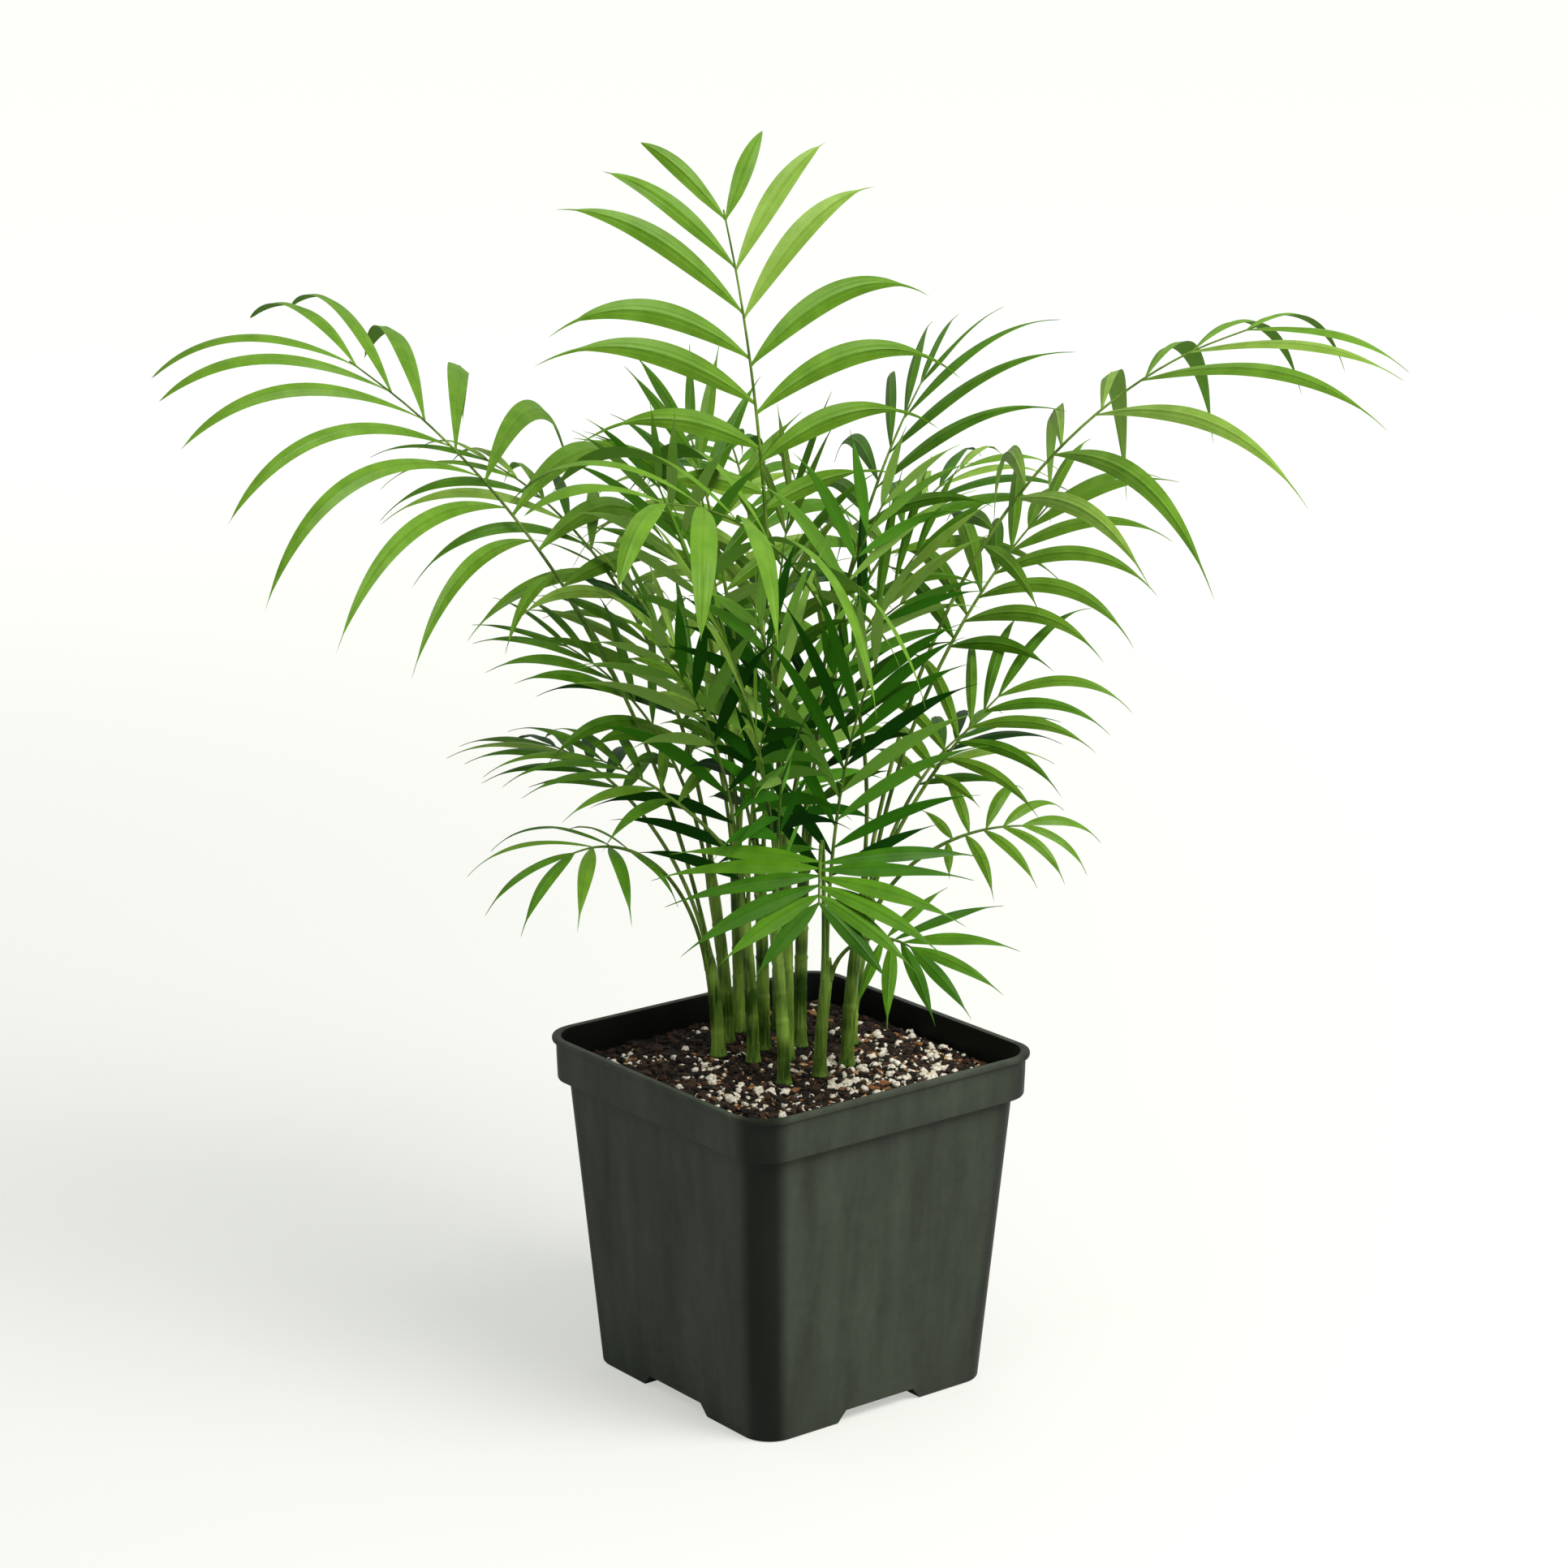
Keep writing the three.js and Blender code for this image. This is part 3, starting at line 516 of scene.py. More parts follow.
colour_and_relief(tree, shader, dust_and_corner_reflection, dust_and_corner_reflection_tones, grain.outputs["Fac"], 0.25, 0.12 * MM, finish)
print("outer wall:", pot_plastic.name)

# %% [markdown]
# ## Pot: inner wall
# Inside, the same plastic is drawn plainer and darker, with no pattern on it. It could be a
# second shell. The shell is one mesh, though, and its inner wall is told apart by the way it faces.

# %% Inner wall
WALL_TILT = 0.5  # a face whose normal rises or falls more than this isn't a wall

pot_inside, tree, shader, place = new_material("polypropylene, inner wall, plain and darker")
finish = {"Base Color": linear_colour("#090b08"), "Roughness": 0.5, "Specular IOR Level": 0.15}
plug(tree, shader, finish)

pot.data.materials.clear()
pot.data.materials.append(pot_plastic)
pot.data.materials.append(pot_inside)
for face in pot.data.polygons:
    inwards = face.normal.x * face.center.x + face.normal.y * face.center.y < 0
    face.material_index = int(inwards and abs(face.normal.z) < WALL_TILT)
print("pot materials:", [material.name for material in pot.data.materials])

# %% [markdown]
# ## Potting mix: bed
# The mix is damp peat and composted bark, with white perlite to keep it open. The bed is one closed
# block: a fine grid for the lumpy top, pulled into the pot's rounded square, with its edge extruded
# down and closed. The single grains that lie on it come after.

# %% Bed of mix
MIX_TOP = 128.5
MIX_PLATEAU = 50  # radius of the level middle
MIX_FALL = 2.5  # how far the mix falls towards the wall
MIX_CELLS = 130
MIX_GAP = 0.6  # what the block stays clear of the wall, in all
MIX_SIDE = POT["rim_side"] - 2 * POT["wall"] - POT["band_taper"] - MIX_GAP
MIX_CORNER = MIX_SIDE * POT["corner_share"]
MIX_BLOCK_BOTTOM = 124.0
MIX_RELIEF = ((0.11, 0, 0.8), (0.35, 7, 0.7), (0.9, 3, 0.35))  # lumps per mm, layer of noise, height


def mix_level(x, y):
    out = max(0.0, math.hypot(x, y) - MIX_PLATEAU) / (POT["rim_side"] / 2 - MIX_PLATEAU)
    level = MIX_TOP - min(1.0, out) * MIX_FALL
    for density, layer, height in MIX_RELIEF:
        level += noise.noise(Vector((x, y, layer)) * density) * height
    return level


def into_rounded_square(x, y, half, radius):
    """Pulls a point of a square into the same square with rounded corners."""
    past_x, past_y = abs(x) - (half - radius), abs(y) - (half - radius)
    if past_x <= 0 or past_y <= 0:
        return x, y
    pull = max(past_x, past_y) / math.hypot(past_x, past_y)
    return (
        math.copysign(half - radius + past_x * pull, x),
        math.copysign(half - radius + past_y * pull, y),
    )


def make_bed():
    bm = bmesh.new()
    half = MIX_SIDE / 2
    bmesh.ops.create_grid(bm, x_segments=MIX_CELLS, y_segments=MIX_CELLS, size=half)
    for vert in bm.verts:
        x, y = into_rounded_square(vert.co.x, vert.co.y, half, MIX_CORNER)
        vert.co = Vector((x, y, mix_level(x, y))) * MM
    rim = [edge for edge in bm.edges if edge.is_boundary]
    skirt = bmesh.ops.extrude_edge_only(bm, edges=rim)["geom"]
    for vert in (item for item in skirt if isinstance(item, bmesh.types.BMVert)):
        vert.co.z = MIX_BLOCK_BOTTOM * MM
    bmesh.ops.holes_fill(bm, edges=[edge for edge in bm.edges if edge.is_boundary])
    bmesh.ops.recalc_face_normals(bm, faces=bm.faces)
    for face in bm.faces:
        face.smooth = True
    return finished_object("mix_bed", bm)


bed = make_bed()
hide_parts("potting_mix")
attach(bed, "root")
print("bed of mix:", len(bed.data.polygons), "faces")

# %% [markdown]
# ## Potting mix: materials
# Five finishes. Peat is nearly black and soaks up light. Bark is broken into flat chips, some dark
# and wet and some tan where the inner bark shows, with a few pale fibres of wood. Perlite is puffed
# volcanic glass: white, a little grey in its pores, and rough. All are dull, and each is mottled at
# its own scale, so one function makes them all.

# %% Mix materials
def earthy_material(name, dark, light, mottle, roughness, bump):
    material, tree, shader, place = new_material(name)
    pattern = {"Vector": place, "Scale": 1 / mottle, "Detail": 6.0, "Roughness": 0.65}
    cloud = add_node(tree, "ShaderNodeTexNoise", pattern).outputs["Fac"]
    stops = [(0.35, dark), (0.65, light)]
    finish = {"Roughness": roughness, "Specular IOR Level": 0.3}
    colour_and_relief(tree, shader, cloud, stops, cloud, bump, 0.4 * MM, finish)
    return material


peat = earthy_material("damp peat", "#090604", "#1b130d", 1.6 * MM, 0.9, 0.9)
dark_bark = earthy_material("composted bark, dark", "#1d120b", "#3c2616", 2 * MM, 0.8, 0.8)
tan_bark = earthy_material("pine bark, inner face", "#54331b", "#8f6238", 2 * MM, 0.8, 0.8)
pale_bark = earthy_material("wood fibre, pale", "#8a6a42", "#bf9c6c", 2 * MM, 0.8, 0.8)
perlite = earthy_material("perlite, puffed volcanic glass", "#a8a192", "#ece7da", 1.1 * MM, 0.85, 0.9)
bed.data.materials.append(peat)
print("mix materials:", [m.name for m in (peat, dark_bark, tan_bark, pale_bark, perlite)])

# %% [markdown]
# ## Table of stems
# Every stem and frond is a row of a table, so that the plant can be changed without a look at the rule
# that grows it. A stem has a foot on the mix, a height, a lean with its bearing, and a radius. Sizes
# are in millimetres and angles in degrees, here and in the next table.

# %% Table of stems
STEMS = {
    "front": dict(foot=(-16, -17), height=62, lean=5, bearing=150, radius=2.45),
    "front_right": dict(foot=(1, -18), height=40, lean=6, bearing=310, radius=2.55),
    "right": dict(foot=(18, -14), height=66, lean=8, bearing=322, radius=2.55),
    "right_back": dict(foot=(36, 6), height=52, lean=12, bearing=332, radius=2.55),
    "middle": dict(foot=(3, 5), height=84, lean=2, bearing=90, radius=2.55),
    "centre": dict(foot=(18, 16), height=72, lean=3, bearing=20, radius=2.55),
    "left": dict(foot=(-15, 27), height=36, lean=7, bearing=142, radius=2.65),
    "left_back": dict(foot=(-2, 38), height=64, lean=8, bearing=130, radius=2.55),
    "inner": dict(foot=(4, 22), height=76, lean=2, bearing=110, radius=2.55),
    "back": dict(foot=(24, 38), height=58, lean=6, bearing=55, radius=2.55),
    "heart": dict(foot=(-9, 12), height=60, lean=5, bearing=165, radius=2.45),
    "rear": dict(foot=(10, 46), height=66, lean=4, bearing=80, radius=2.45),
}
print("stems:", len(STEMS))

# %% [markdown]
# ## Table of fronds
# A frond grows from a stem, on the side that its seat gives, to a bearing. Its lean goes from the first
# value at the foot to the second at the tip, late where its curl is high. Then come the lengths of its
# bare stalk and of its rib, the pairs of leaflets, the length and width of the longest, and how far the
# leaflets droop. What a row adds by name is that frond's own: its roll about the stalk, or how its
# leaflets rise, differ between the two hands, stand off the rib, and shorten towards both ends.

# %% Table of fronds
FROND_COLUMNS = "stem seat bearing lean curl stalk rib pairs leaf width droop".split()


def grows(*cells, **own):
    return dict(zip(FROND_COLUMNS, cells), **own)


FRONDS = {
    "crown": grows(
        "middle", 91, 91, (3.4, 20.3), 2.5, 137, 117, 7, 96, 11, 1.4,
        roll=-14, rise=5, angles=(63, 29), ends=(0.6, 0.46),
    ),
    "left_arch": grows(
        "left", 290, 121, (13, 60), 1.3, 164, 126, 8, 124, 10, 2.1,
        roll=-11, rise=16, angles=(85, 26), ends=(0.5, 0.71),
    ),
    "right_arch": grows(
        "right", 82, 333, (10.3, 76), 1.66, 150, 140, 7, 128, 8.5, 2.1,
        skew=0.38, roll=7.5, rise=5, angles=(81, 33), ends=(0.5, 0.58),
    ),
    "front_arch": grows(
        "right", 202, 180, (-7, 84), 1.47, 129, 93, 6, 110, 12, 2.5,
        roll=-14, rise=22, angles=(90, 38), ends=(0.5, 0.55),
    ),
    "back_right_high": grows(
        "centre", 60, 10, (7.6, 42), 1.6, 140, 67, 5, 94, 7, 1.2,
        roll=-19, rise=-1, angles=(61, 17), ends=(0.77, 0.53),
    ),
    "left_back_high": grows("inner", 70, 97, (7, 24), 1.9, 110, 66, 6, 68, 7, 0.6),
    "right_mid": grows("right_back", 170, 352, (8, 50), 1.1, 115, 72, 7, 82, 7.5, 1.6, roll=12),
    "right_low": grows(
        "right", 328, 338, (18, 48), 0.9, 58, 42, 6, 57, 5.2, 1.4,
        roll=33, rise=11, angles=(78, 22), ends=(0.5, 1),
    ),
    "right_small": grows(
        "right_back", 290, 332, (17, 94), 0.8, 45, 33, 5, 38, 5, 1.5,
        roll=32, rise=21, angles=(103, 17), ends=(0.56, 1),
    ),
    "front_small": grows(
        "front_right", 300, 284, (12, 108), 0.9, 36, 14, 4, 46, 6, 0.5,
        roll=30, rise=0, angles=(84, 16), ends=(0.8, 0.9),
    ),
    "front_fan": grows(
        "front_right", 180, 230, (0, 146), 1.55, 106, 20, 6, 62, 8, 0.4,
        rise=4, angles=(106, 46), ends=(1, 0.66),
    ),
    "left_low": grows(
        "front", 140, 122, (12, 74), 0.7, 63, 36, 5, 53, 5, 1,
        roll=-12, rise=16, angles=(77, 18), ends=(1, 1),
    ),
    "left_small": grows(
        "left", 178, 187, (15, 98), 1.4, 73, 32, 4, 54, 5, 1.4,
        roll=-10, rise=10, angles=(84, 16), ends=(0.77, 0.87),
    ),
    "left_mid": grows("left_back", 170, 135, (8, 62), 1.4, 48, 72, 7, 66, 6, 1, roll=-14),
    "left_inner": grows("inner", 190, 138, (6, 38), 1, 22, 88, 8, 58, 6.5, 0.7, roll=-20),
    "inner_front": grows(
        "middle", 267, 215, (4, 42), 1.4, 18, 92, 8, 70, 6.5, 0.7,
        roll=48, angles=(54, 20),
    ),
    "inner_front_right": grows(
        "front_right", 60, 262, (2, 34), 1.4, 38, 104, 9, 70, 6.5, 0.7,
        roll=-42, angles=(50, 18),
    ),
    "inner_right": grows(
        "centre", 320, 330, (4, 40), 1.4, 28, 112, 9, 72, 6.5, 0.8,
        roll=38, angles=(50, 18),
    ),
    "inner_left": grows(
        "front", 332, 170, (2, 30), 1.4, 40, 108, 9, 72, 6.5, 0.8,
        roll=-36, angles=(50, 18),
    ),
    "inner_back": grows("inner", 310, 30, (2, 26), 1.4, 50, 100, 8, 72, 6.5, 0.8, roll=-30),
    "back_arch": grows("back", 172, 62, (6, 84), 1.6, 120, 104, 8, 94, 8.5, 2, rise=0),
    "back_right_arch": grows("back", 292, 8, (9, 70), 1.4, 118, 86, 7, 84, 8, 1.6, rise=4),
    "back_left_arch": grows("left_back", 290, 112, (9, 70), 1.5, 118, 90, 7, 82, 8, 1.6, rise=4),
    "back_mid": grows("left_back", 50, 80, (12, 66), 1.1, 56, 78, 7, 66, 7, 1.1),
    "back_low": grows("back", 52, 52, (16, 88), 1, 62, 42, 5, 56, 7, 1, ends=(0.7, 0.85)),
    "back_right_low": grows("right_back", 50, 15, (16, 80), 1, 60, 42, 5, 56, 7, 1, ends=(0.7, 0.85)),
    "heart_left": grows("heart", 185, 196, (4, 50), 1.4, 16, 112, 10, 62, 6.5, 1, roll=34),
    "heart_front": grows(
        "heart", 305, 244, (3, 52), 1.4, 16, 84, 7, 60, 6.5, 1,
        roll=-58, angles=(52, 20),
    ),
    "heart_high": grows("heart", 65, 160, (3, 24), 1.6, 120, 60, 6, 64, 6.5, 0.9, roll=35),
    "centre_high": grows("centre", 200, 300, (3, 30), 1.8, 96, 62, 6, 66, 6.5, 0.9, roll=-40),
    "middle_right": grows("middle", 0, 305, (3, 54), 1.4, 12, 108, 9, 62, 6.5, 1, roll=-44),
    "front_inner": grows(
        "front", 244, 236, (6, 60), 1.3, 18, 74, 7, 56, 6.5, 1,
        roll=56, angles=(54, 20),
    ),
    "rear_high": grows("rear", 80, 72, (4, 34), 1.5, 104, 64, 6, 66, 7, 1),
    "rear_left": grows("rear", 200, 124, (3, 48), 1.3, 46, 88, 7, 62, 6.5, 1, roll=26),
    "rear_right": grows("rear", 320, 38, (6, 62), 1.3, 44, 86, 7, 62, 6.5, 1, roll=-26),
    "back_left_low": grows("left", 50, 100, (14, 84), 1, 82, 42, 5, 56, 7, 1, ends=(0.7, 0.85)),
}
print("fronds:", len(FRONDS))

# %% [markdown]
# ## Potting mix: loose grains
# Thousands of grains lie on the bed. They could be instances or particles, but those are lost when a
# model is exported, so each grain is an icosphere of a few faces, squeezed to its own proportions,
# dented at its corners and half sunk in the bed, and all grains of a kind are joined. Watering floats
# the light ones, perlite and tan bark, towards the front wall, so those are thicker there. They are
# fewest at the back and left, where the wall and the plant shade the mix, so their spread there is
# partly painted shade.

# %% Grains
BATCH = 40  # grains made in one go
DRIFT_AND_SHADE_WAY = (-0.08, -0.95)  # the way that watering has washed the light grains; their thinning at the back and left is partly painted shade
DRIFT_AND_SHADE_SHARES = (0.34, 0.95, 0.5)  # share of them in the middle, gained to the front, and by patches
PATCHES = 0.07  # per mm
STEM_FEET = [Vector(stem["foot"]) for stem in STEMS.values()]
STEM_CLEARANCE = 3.4  # mm from the middle of a stem to a grain
GRAIN_WIDTHS = (0.8, 1.15)  # how far the three widths of a grain may differ from their proportions
GRAIN_TILT = 0.5  # radians
GRAIN_RISE = 0.35  # how high a grain's middle lies over the bed, as a share of half its height


def drift_and_shade_share(x, y):
    """The share of the light grains that stays at a place: most of them at the front corner, where
    watering washes them, and fewest at the back and left, partly as painted shade.
    """
    along = (x * DRIFT_AND_SHADE_WAY[0] + y * DRIFT_AND_SHADE_WAY[1]) / MIX_SIDE
    return DRIFT_AND_SHADE_SHARES[0] + DRIFT_AND_SHADE_SHARES[1] * along + DRIFT_AND_SHADE_SHARES[2] * noise.noise(Vector((x, y, 21)) * PATCHES)


def free_spot(dice, margin, drift_and_shade):
    """A place on the bed that is clear of the wall and of every stem."""
    half = MIX_SIDE / 2 - margin
    while True:
        x, y = into_rounded_square(dice.uniform(-half, half), dice.uniform(-half, half), half, MIX_CORNER)
        clear = all((foot - Vector((x, y))).length > STEM_CLEARANCE + margin for foot in STEM_FEET)
        if clear and (not drift_and_shade or dice.random() < drift_and_shade_share(x, y)):
            return x, y


def add_grain(bm, dice, sizes, shape, detail, dent, drift_and_shade):
    size = sizes[0] + (sizes[1] - sizes[0]) * dice.random() ** 2  # mostly small
    half = Vector([size / 2 * side * dice.uniform(*GRAIN_WIDTHS) for side in shape])
    x, y = free_spot(dice, size / 2, drift_and_shade)
    turn = Matrix.Rotation(dice.uniform(0, math.tau), 4, "Z")
    tip = Matrix.Rotation(dice.uniform(-GRAIN_TILT, GRAIN_TILT), 4, "X")
    place = Matrix.Translation((x, y, mix_level(x, y) + half.z * GRAIN_RISE)) @ turn @ tip
    grain = bmesh.ops.create_icosphere(bm, subdivisions=detail, radius=1)["verts"]
    for vert in grain:
        push = 1 + dent * noise.noise(vert.co * 1.3 + Vector((x, y, 0)))
        vert.co = place @ Vector([c * h * push for c, h in zip(vert.co, half)]) * MM
    return {face for vert in grain for face in vert.link_faces}


def scatter(name, count, sizes, shape, detail, dent, drift_and_shade, material_shares):
    """Joined grains. sizes is the range of the greatest width in mm, shape its three proportions."""
    dice = random.Random(name)
    shares = [share for _, share in material_shares]
    whole = bmesh.new()
    for start in range(0, count, BATCH):
        batch = bmesh.new()
        for _ in range(min(BATCH, count - start)):
            kind = dice.choices(range(len(shares)), shares)[0]
            for face in add_grain(batch, dice, sizes, shape, detail, dent, drift_and_shade):
                face.material_index = kind
                face.smooth = detail > 1
        pour(batch, whole)
    grains = finished_object(name, whole)
    for material, _ in material_shares:
        grains.data.materials.append(material)
    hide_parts("potting_mix")
    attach(grains, "root")
    print(name + ":", count, "grains,", len(grains.data.polygons), "faces")


scatter("peat_crumbs", 2600, (1.8, 4.6), (1, 0.85, 0.7), 1, 0.7, False, [(peat, 3), (dark_bark, 2)])
scatter("bark_chips", 560, (2.6, 8), (1, 0.5, 0.25), 1, 0.6, False, [(dark_bark, 3), (tan_bark, 1)])
scatter("tan_chips", 1000, (1.2, 4.6), (1, 0.55, 0.3), 1, 0.6, True, [(tan_bark, 2), (pale_bark, 1)])
scatter("perlite_grains", 1100, (1.0, 4.2), (1, 0.85, 0.75), 2, 0.7, True, [(perlite, 1)])

# %% [markdown]
# ## Growing rule: walking a shaft
# Stems, stalks and ribs all grow by one rule. It takes equal steps along the shaft, and at each step
# it reads how far the shaft leans and to which bearing. It notes a station: the place, the way ahead,
# the level side and the upper face. This is the plain model's own rule, with the same steps.

# %% Walking and smoothing
STEM_STEPS = 5
STEM_TAPER = (1.08, 0.92)  # at the foot and at the fork, as shares of the radius
SHAFT = dict(foot_radius=0.95, rib_radius=0.75, tip_radius=0.35, steps=10)
FIT_GAP = 0.3  # the plain model's solids stand this far apart
SHAFT_PARTS = 4  # into which each step of a shaft is smoothed


def mix(a, b, t):
    return a + (b - a) * t


def direction(lean, bearing):
    lean, bearing = math.radians(lean), math.radians(bearing)
    return Vector(
        (math.sin(lean) * math.cos(bearing), math.sin(lean) * math.sin(bearing), math.cos(lean))
    )


def walk(start, length, steps, lean_at, bearing, roll=0.0):
    """Stations of a shaft: place, way ahead, side and face."""
    stations = []
    place = start.copy()
    level = Vector((-math.sin(math.radians(bearing)), math.cos(math.radians(bearing)), 0))
    for step in range(steps + 1):
        along = direction(lean_at(step / steps), bearing)
        side = Matrix.Rotation(math.radians(roll), 3, along) @ level
        stations.append((place.copy(), along, side, along.cross(side)))
        place += direction(lean_at((step + 0.5) / steps), bearing) * (length / steps)
    return stations


def station_at(stations, share):
    """The station at a share of the way, between two that were walked."""
    place = min(share, 0.99999) * (len(stations) - 1)
    step = int(place)
    pairs = zip(stations[step], stations[step + 1])
    point, *ways = [here.lerp(ahead, place - step) for here, ahead in pairs]
    return (point, *[way.normalized() for way in ways])


def smooth_stations(stations, parts):
    """The same path with more stations, on a Catmull-Rom curve through the old ones."""
    fine = []
    last = len(stations) - 1
    for step in range(last):
        before, here, ahead, beyond = (
            stations[max(0, min(last, step + shift))][0] for shift in (-1, 0, 1, 2)
        )
        for part in range(parts):
            t = part / parts
            pull = here * 2 + (ahead - before) * t + (before * 2 - here * 5 + ahead * 4 - beyond) * t**2
            pull += (here * 3 - before - ahead * 3 + beyond) * t**3
            fine.append((pull / 2, *station_at(stations, (step + t) / last)[1:]))
    fine.append(stations[-1])
    return fine


def walk_stem(stem):
    start = Vector((*stem["foot"], MIX_TOP + FIT_GAP))

    def lean_at(share):
        return stem["lean"] * math.sin(share * math.pi / 2)

    return walk(start, stem["height"], STEM_STEPS, lean_at, stem["bearing"])


def walk_frond(frond):
    stem = STEMS[frond["stem"]]
    seat = math.radians(frond["seat"] - stem["bearing"] - 90)
    point, along, side, face = walk_stem(stem)[-1]
    reach = stem["radius"] * STEM_TAPER[1] - SHAFT["foot_radius"]
    start = point + along * FIT_GAP + side * (reach * math.cos(seat)) + face * (reach * math.sin(seat))

    def lean_at(share):
        return mix(*frond["lean"], share ** frond["curl"])

    length = frond["stalk"] + frond["rib"]
    return walk(start, length, SHAFT["steps"], lean_at, frond["bearing"], frond.get("roll", 0))


print("crown tip at", [round(c) for c in walk_frond(FRONDS["crown"])[-1][0]], "mm")

# %% [markdown]
# ## Stems and stalks: green skin
# Young canes and leaf stalks are green, smooth and waxy, with fine lengthwise streaks where fibres
# show through. One material could serve both. They are kept apart, because the stems are given a
# darker and wider range of greens in broad patches: painted shade for the gaps between the stems, and
# painted light for their lit sides.

# %% Skin of stems and stalks
FIBRE, PATCH = 0.9 * MM, 16 * MM


def green_skin(name, dark, light, roughness):
    material, tree, shader, place = new_material(name)
    stretch = add_node(tree, "ShaderNodeMapping", {"Vector": place, "Scale": (1, 1, 0.06)})
    pattern = {"Vector": stretch.outputs["Vector"], "Scale": 1 / FIBRE, "Detail": 4.0, "Roughness": 0.6}
    fibres = add_node(tree, "ShaderNodeTexNoise", pattern).outputs["Fac"]
    patches = add_node(tree, "ShaderNodeTexNoise", {"Vector": place, "Scale": 1 / PATCH, "Detail": 1.0})
    cast = add_node(tree, "ShaderNodeMix", {"Factor": 0.6, "A": fibres, "B": patches.outputs["Fac"]})
    stops = [(0.4, dark), (0.65, light)]
    finish = {"Roughness": roughness, "Specular IOR Level": 0.2}
    colour_and_relief(tree, shader, cast.outputs[0], stops, fibres, 0.3, 0.1 * MM, finish)
    return material


# the stems' darker, wider range of greens is painted shade between the stems and painted light on their
# lit sides
stem_skin_with_painted_light_and_shade = green_skin("palm stem, waxy green, with painted light and shade", "#24400b", "#7a9a3c", 0.36)
stalk_skin = green_skin("palm leaf stalk, waxy green", "#36540f", "#6f9034", 0.42)
print("skins:", stem_skin_with_painted_light_and_shade.name, "and", stalk_skin.name)

# %% [markdown]
# ## Stems: ringed green canes
# Each stem is the stack of old leaf bases that wrap it. Every base ends in a thin raised scar, so the
# stem steps in and out by a fraction of a millimetre. A displacement texture could draw that, but the
# steps are few and sharp, so they are put in the radius itself. The foot flares a little, and the top
# closes like a sheath round the stalks.

# %% Stems
STEM_SEED = 40
STEM_SIDES = 20
STEM_ROW = 1.1  # mm between rings
FIRST_SCAR = (8, 13)  # range of its height
SCAR_SPACING = (11, 17)
LAST_SCAR = 4  # least distance to the fork
SCAR_HEIGHT, SCAR_RISE = 0.32, 1.4  # how far a scar stands out, and the length it takes to
WAIST_DEPTH, WAIST_LENGTH = 0.14, 5  # how far the stem draws in above a scar
FLARE, FLARE_HEIGHT = 0.3, 6
SHEATH = 9  # mm, how far the last leaf base closes in above the fork
SHEATH_CLOSE = 0.62
GROOVES, GROOVE_DEPTH = 5, 0.015


def stem_radius(stem, height, scars):
    share = min(1.0, height / stem["height"])
    radius = stem["radius"] * mix(*STEM_TAPER, share)
    radius *= 1 + FLARE * max(0.0, 1 - height / FLARE_HEIGHT) ** 1.5
    for scar in scars:
        past = height - scar
        if -SCAR_RISE < past <= 0:
            radius += SCAR_HEIGHT * (1 + past / SCAR_RISE)
        elif 0 < past < WAIST_LENGTH:
            radius -= WAIST_DEPTH * (1 - past / WAIST_LENGTH)
    over = max(0.0, height - stem["height"]) / SHEATH
    return radius * (1 - SHEATH_CLOSE * over**1.6)


def add_stem(bm, stem, dice):
    scars = []
    height = dice.uniform(*FIRST_SCAR)
    while height < stem["height"] - LAST_SCAR:
        scars.append(height)
        height += dice.uniform(*SCAR_SPACING)
    path = smooth_stations(walk_stem(stem), SHAFT_PARTS)
    length = stem["height"] + SHEATH
    rings = round(length / STEM_ROW) + 1
    groove_turn = dice.uniform(0, math.tau)
    frames = []
    for ring in range(rings):
        height = length * ring / (rings - 1)
        point, along, side, face = station_at(path, height / stem["height"])
        if height > stem["height"]:
            point = point + along * (height - stem["height"])
        frames.append((point, side, face, stem_radius(stem, height, scars)))

    def corner(ring, column):
        point, side, face, radius = frames[ring]
        turn = math.tau * column / STEM_SIDES
        radius *= 1 + GROOVE_DEPTH * math.sin(GROOVES * turn + groove_turn)
        return point + side * (math.cos(turn) * radius) + face * (math.sin(turn) * radius)

    wrap_rings(bm, rings, STEM_SIDES, corner, (frames[0][0], frames[-1][0]))


def make_stems():
    bm = bmesh.new()
    dice = random.Random(STEM_SEED)
    for stem in STEMS.values():
        add_stem(bm, stem, dice)
    bmesh.ops.recalc_face_normals(bm, faces=bm.faces)
    return finished_object("stems", bm)


stems = make_stems()
stems.data.materials.append(stem_skin_with_painted_light_and_shade)
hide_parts(*["stem_" + name for name in STEMS])
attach(stems, "root")
print("stems:", len(STEMS), "with", len(stems.data.polygons), "faces")

# %% [markdown]
# ## Stalks and ribs
# A leaf stalk is nearly round at its foot and grows into the rib that carries the leaflets, thinner all
# the way. A curve with a bevel could draw it, but not the flat upper side, nor the foot, which is drawn
# wider, as the sheath that clasps the stem. So it is rings again.

# %% Stalks and ribs
STALK_SIDES = 10
CLASP, CLASP_WIDTH = 16, 0.5  # mm of stalk that widens towards the stem, and how much
FLAT_TOP = 0.8  # how high the upper side stands, as a share of the radius


def stalk_radius(frond, share):
    bare = frond["stalk"] / (frond["stalk"] + frond["rib"])
    if share >= bare:
        return mix(SHAFT["rib_radius"], SHAFT["tip_radius"], (share - bare) / (1 - bare))
    travelled = share * (frond["stalk"] + frond["rib"])
    clasp = CLASP_WIDTH * max(0.0, 1 - travelled / CLASP) ** 2
    return mix(SHAFT["foot_radius"], SHAFT["rib_radius"], share / bare) + clasp


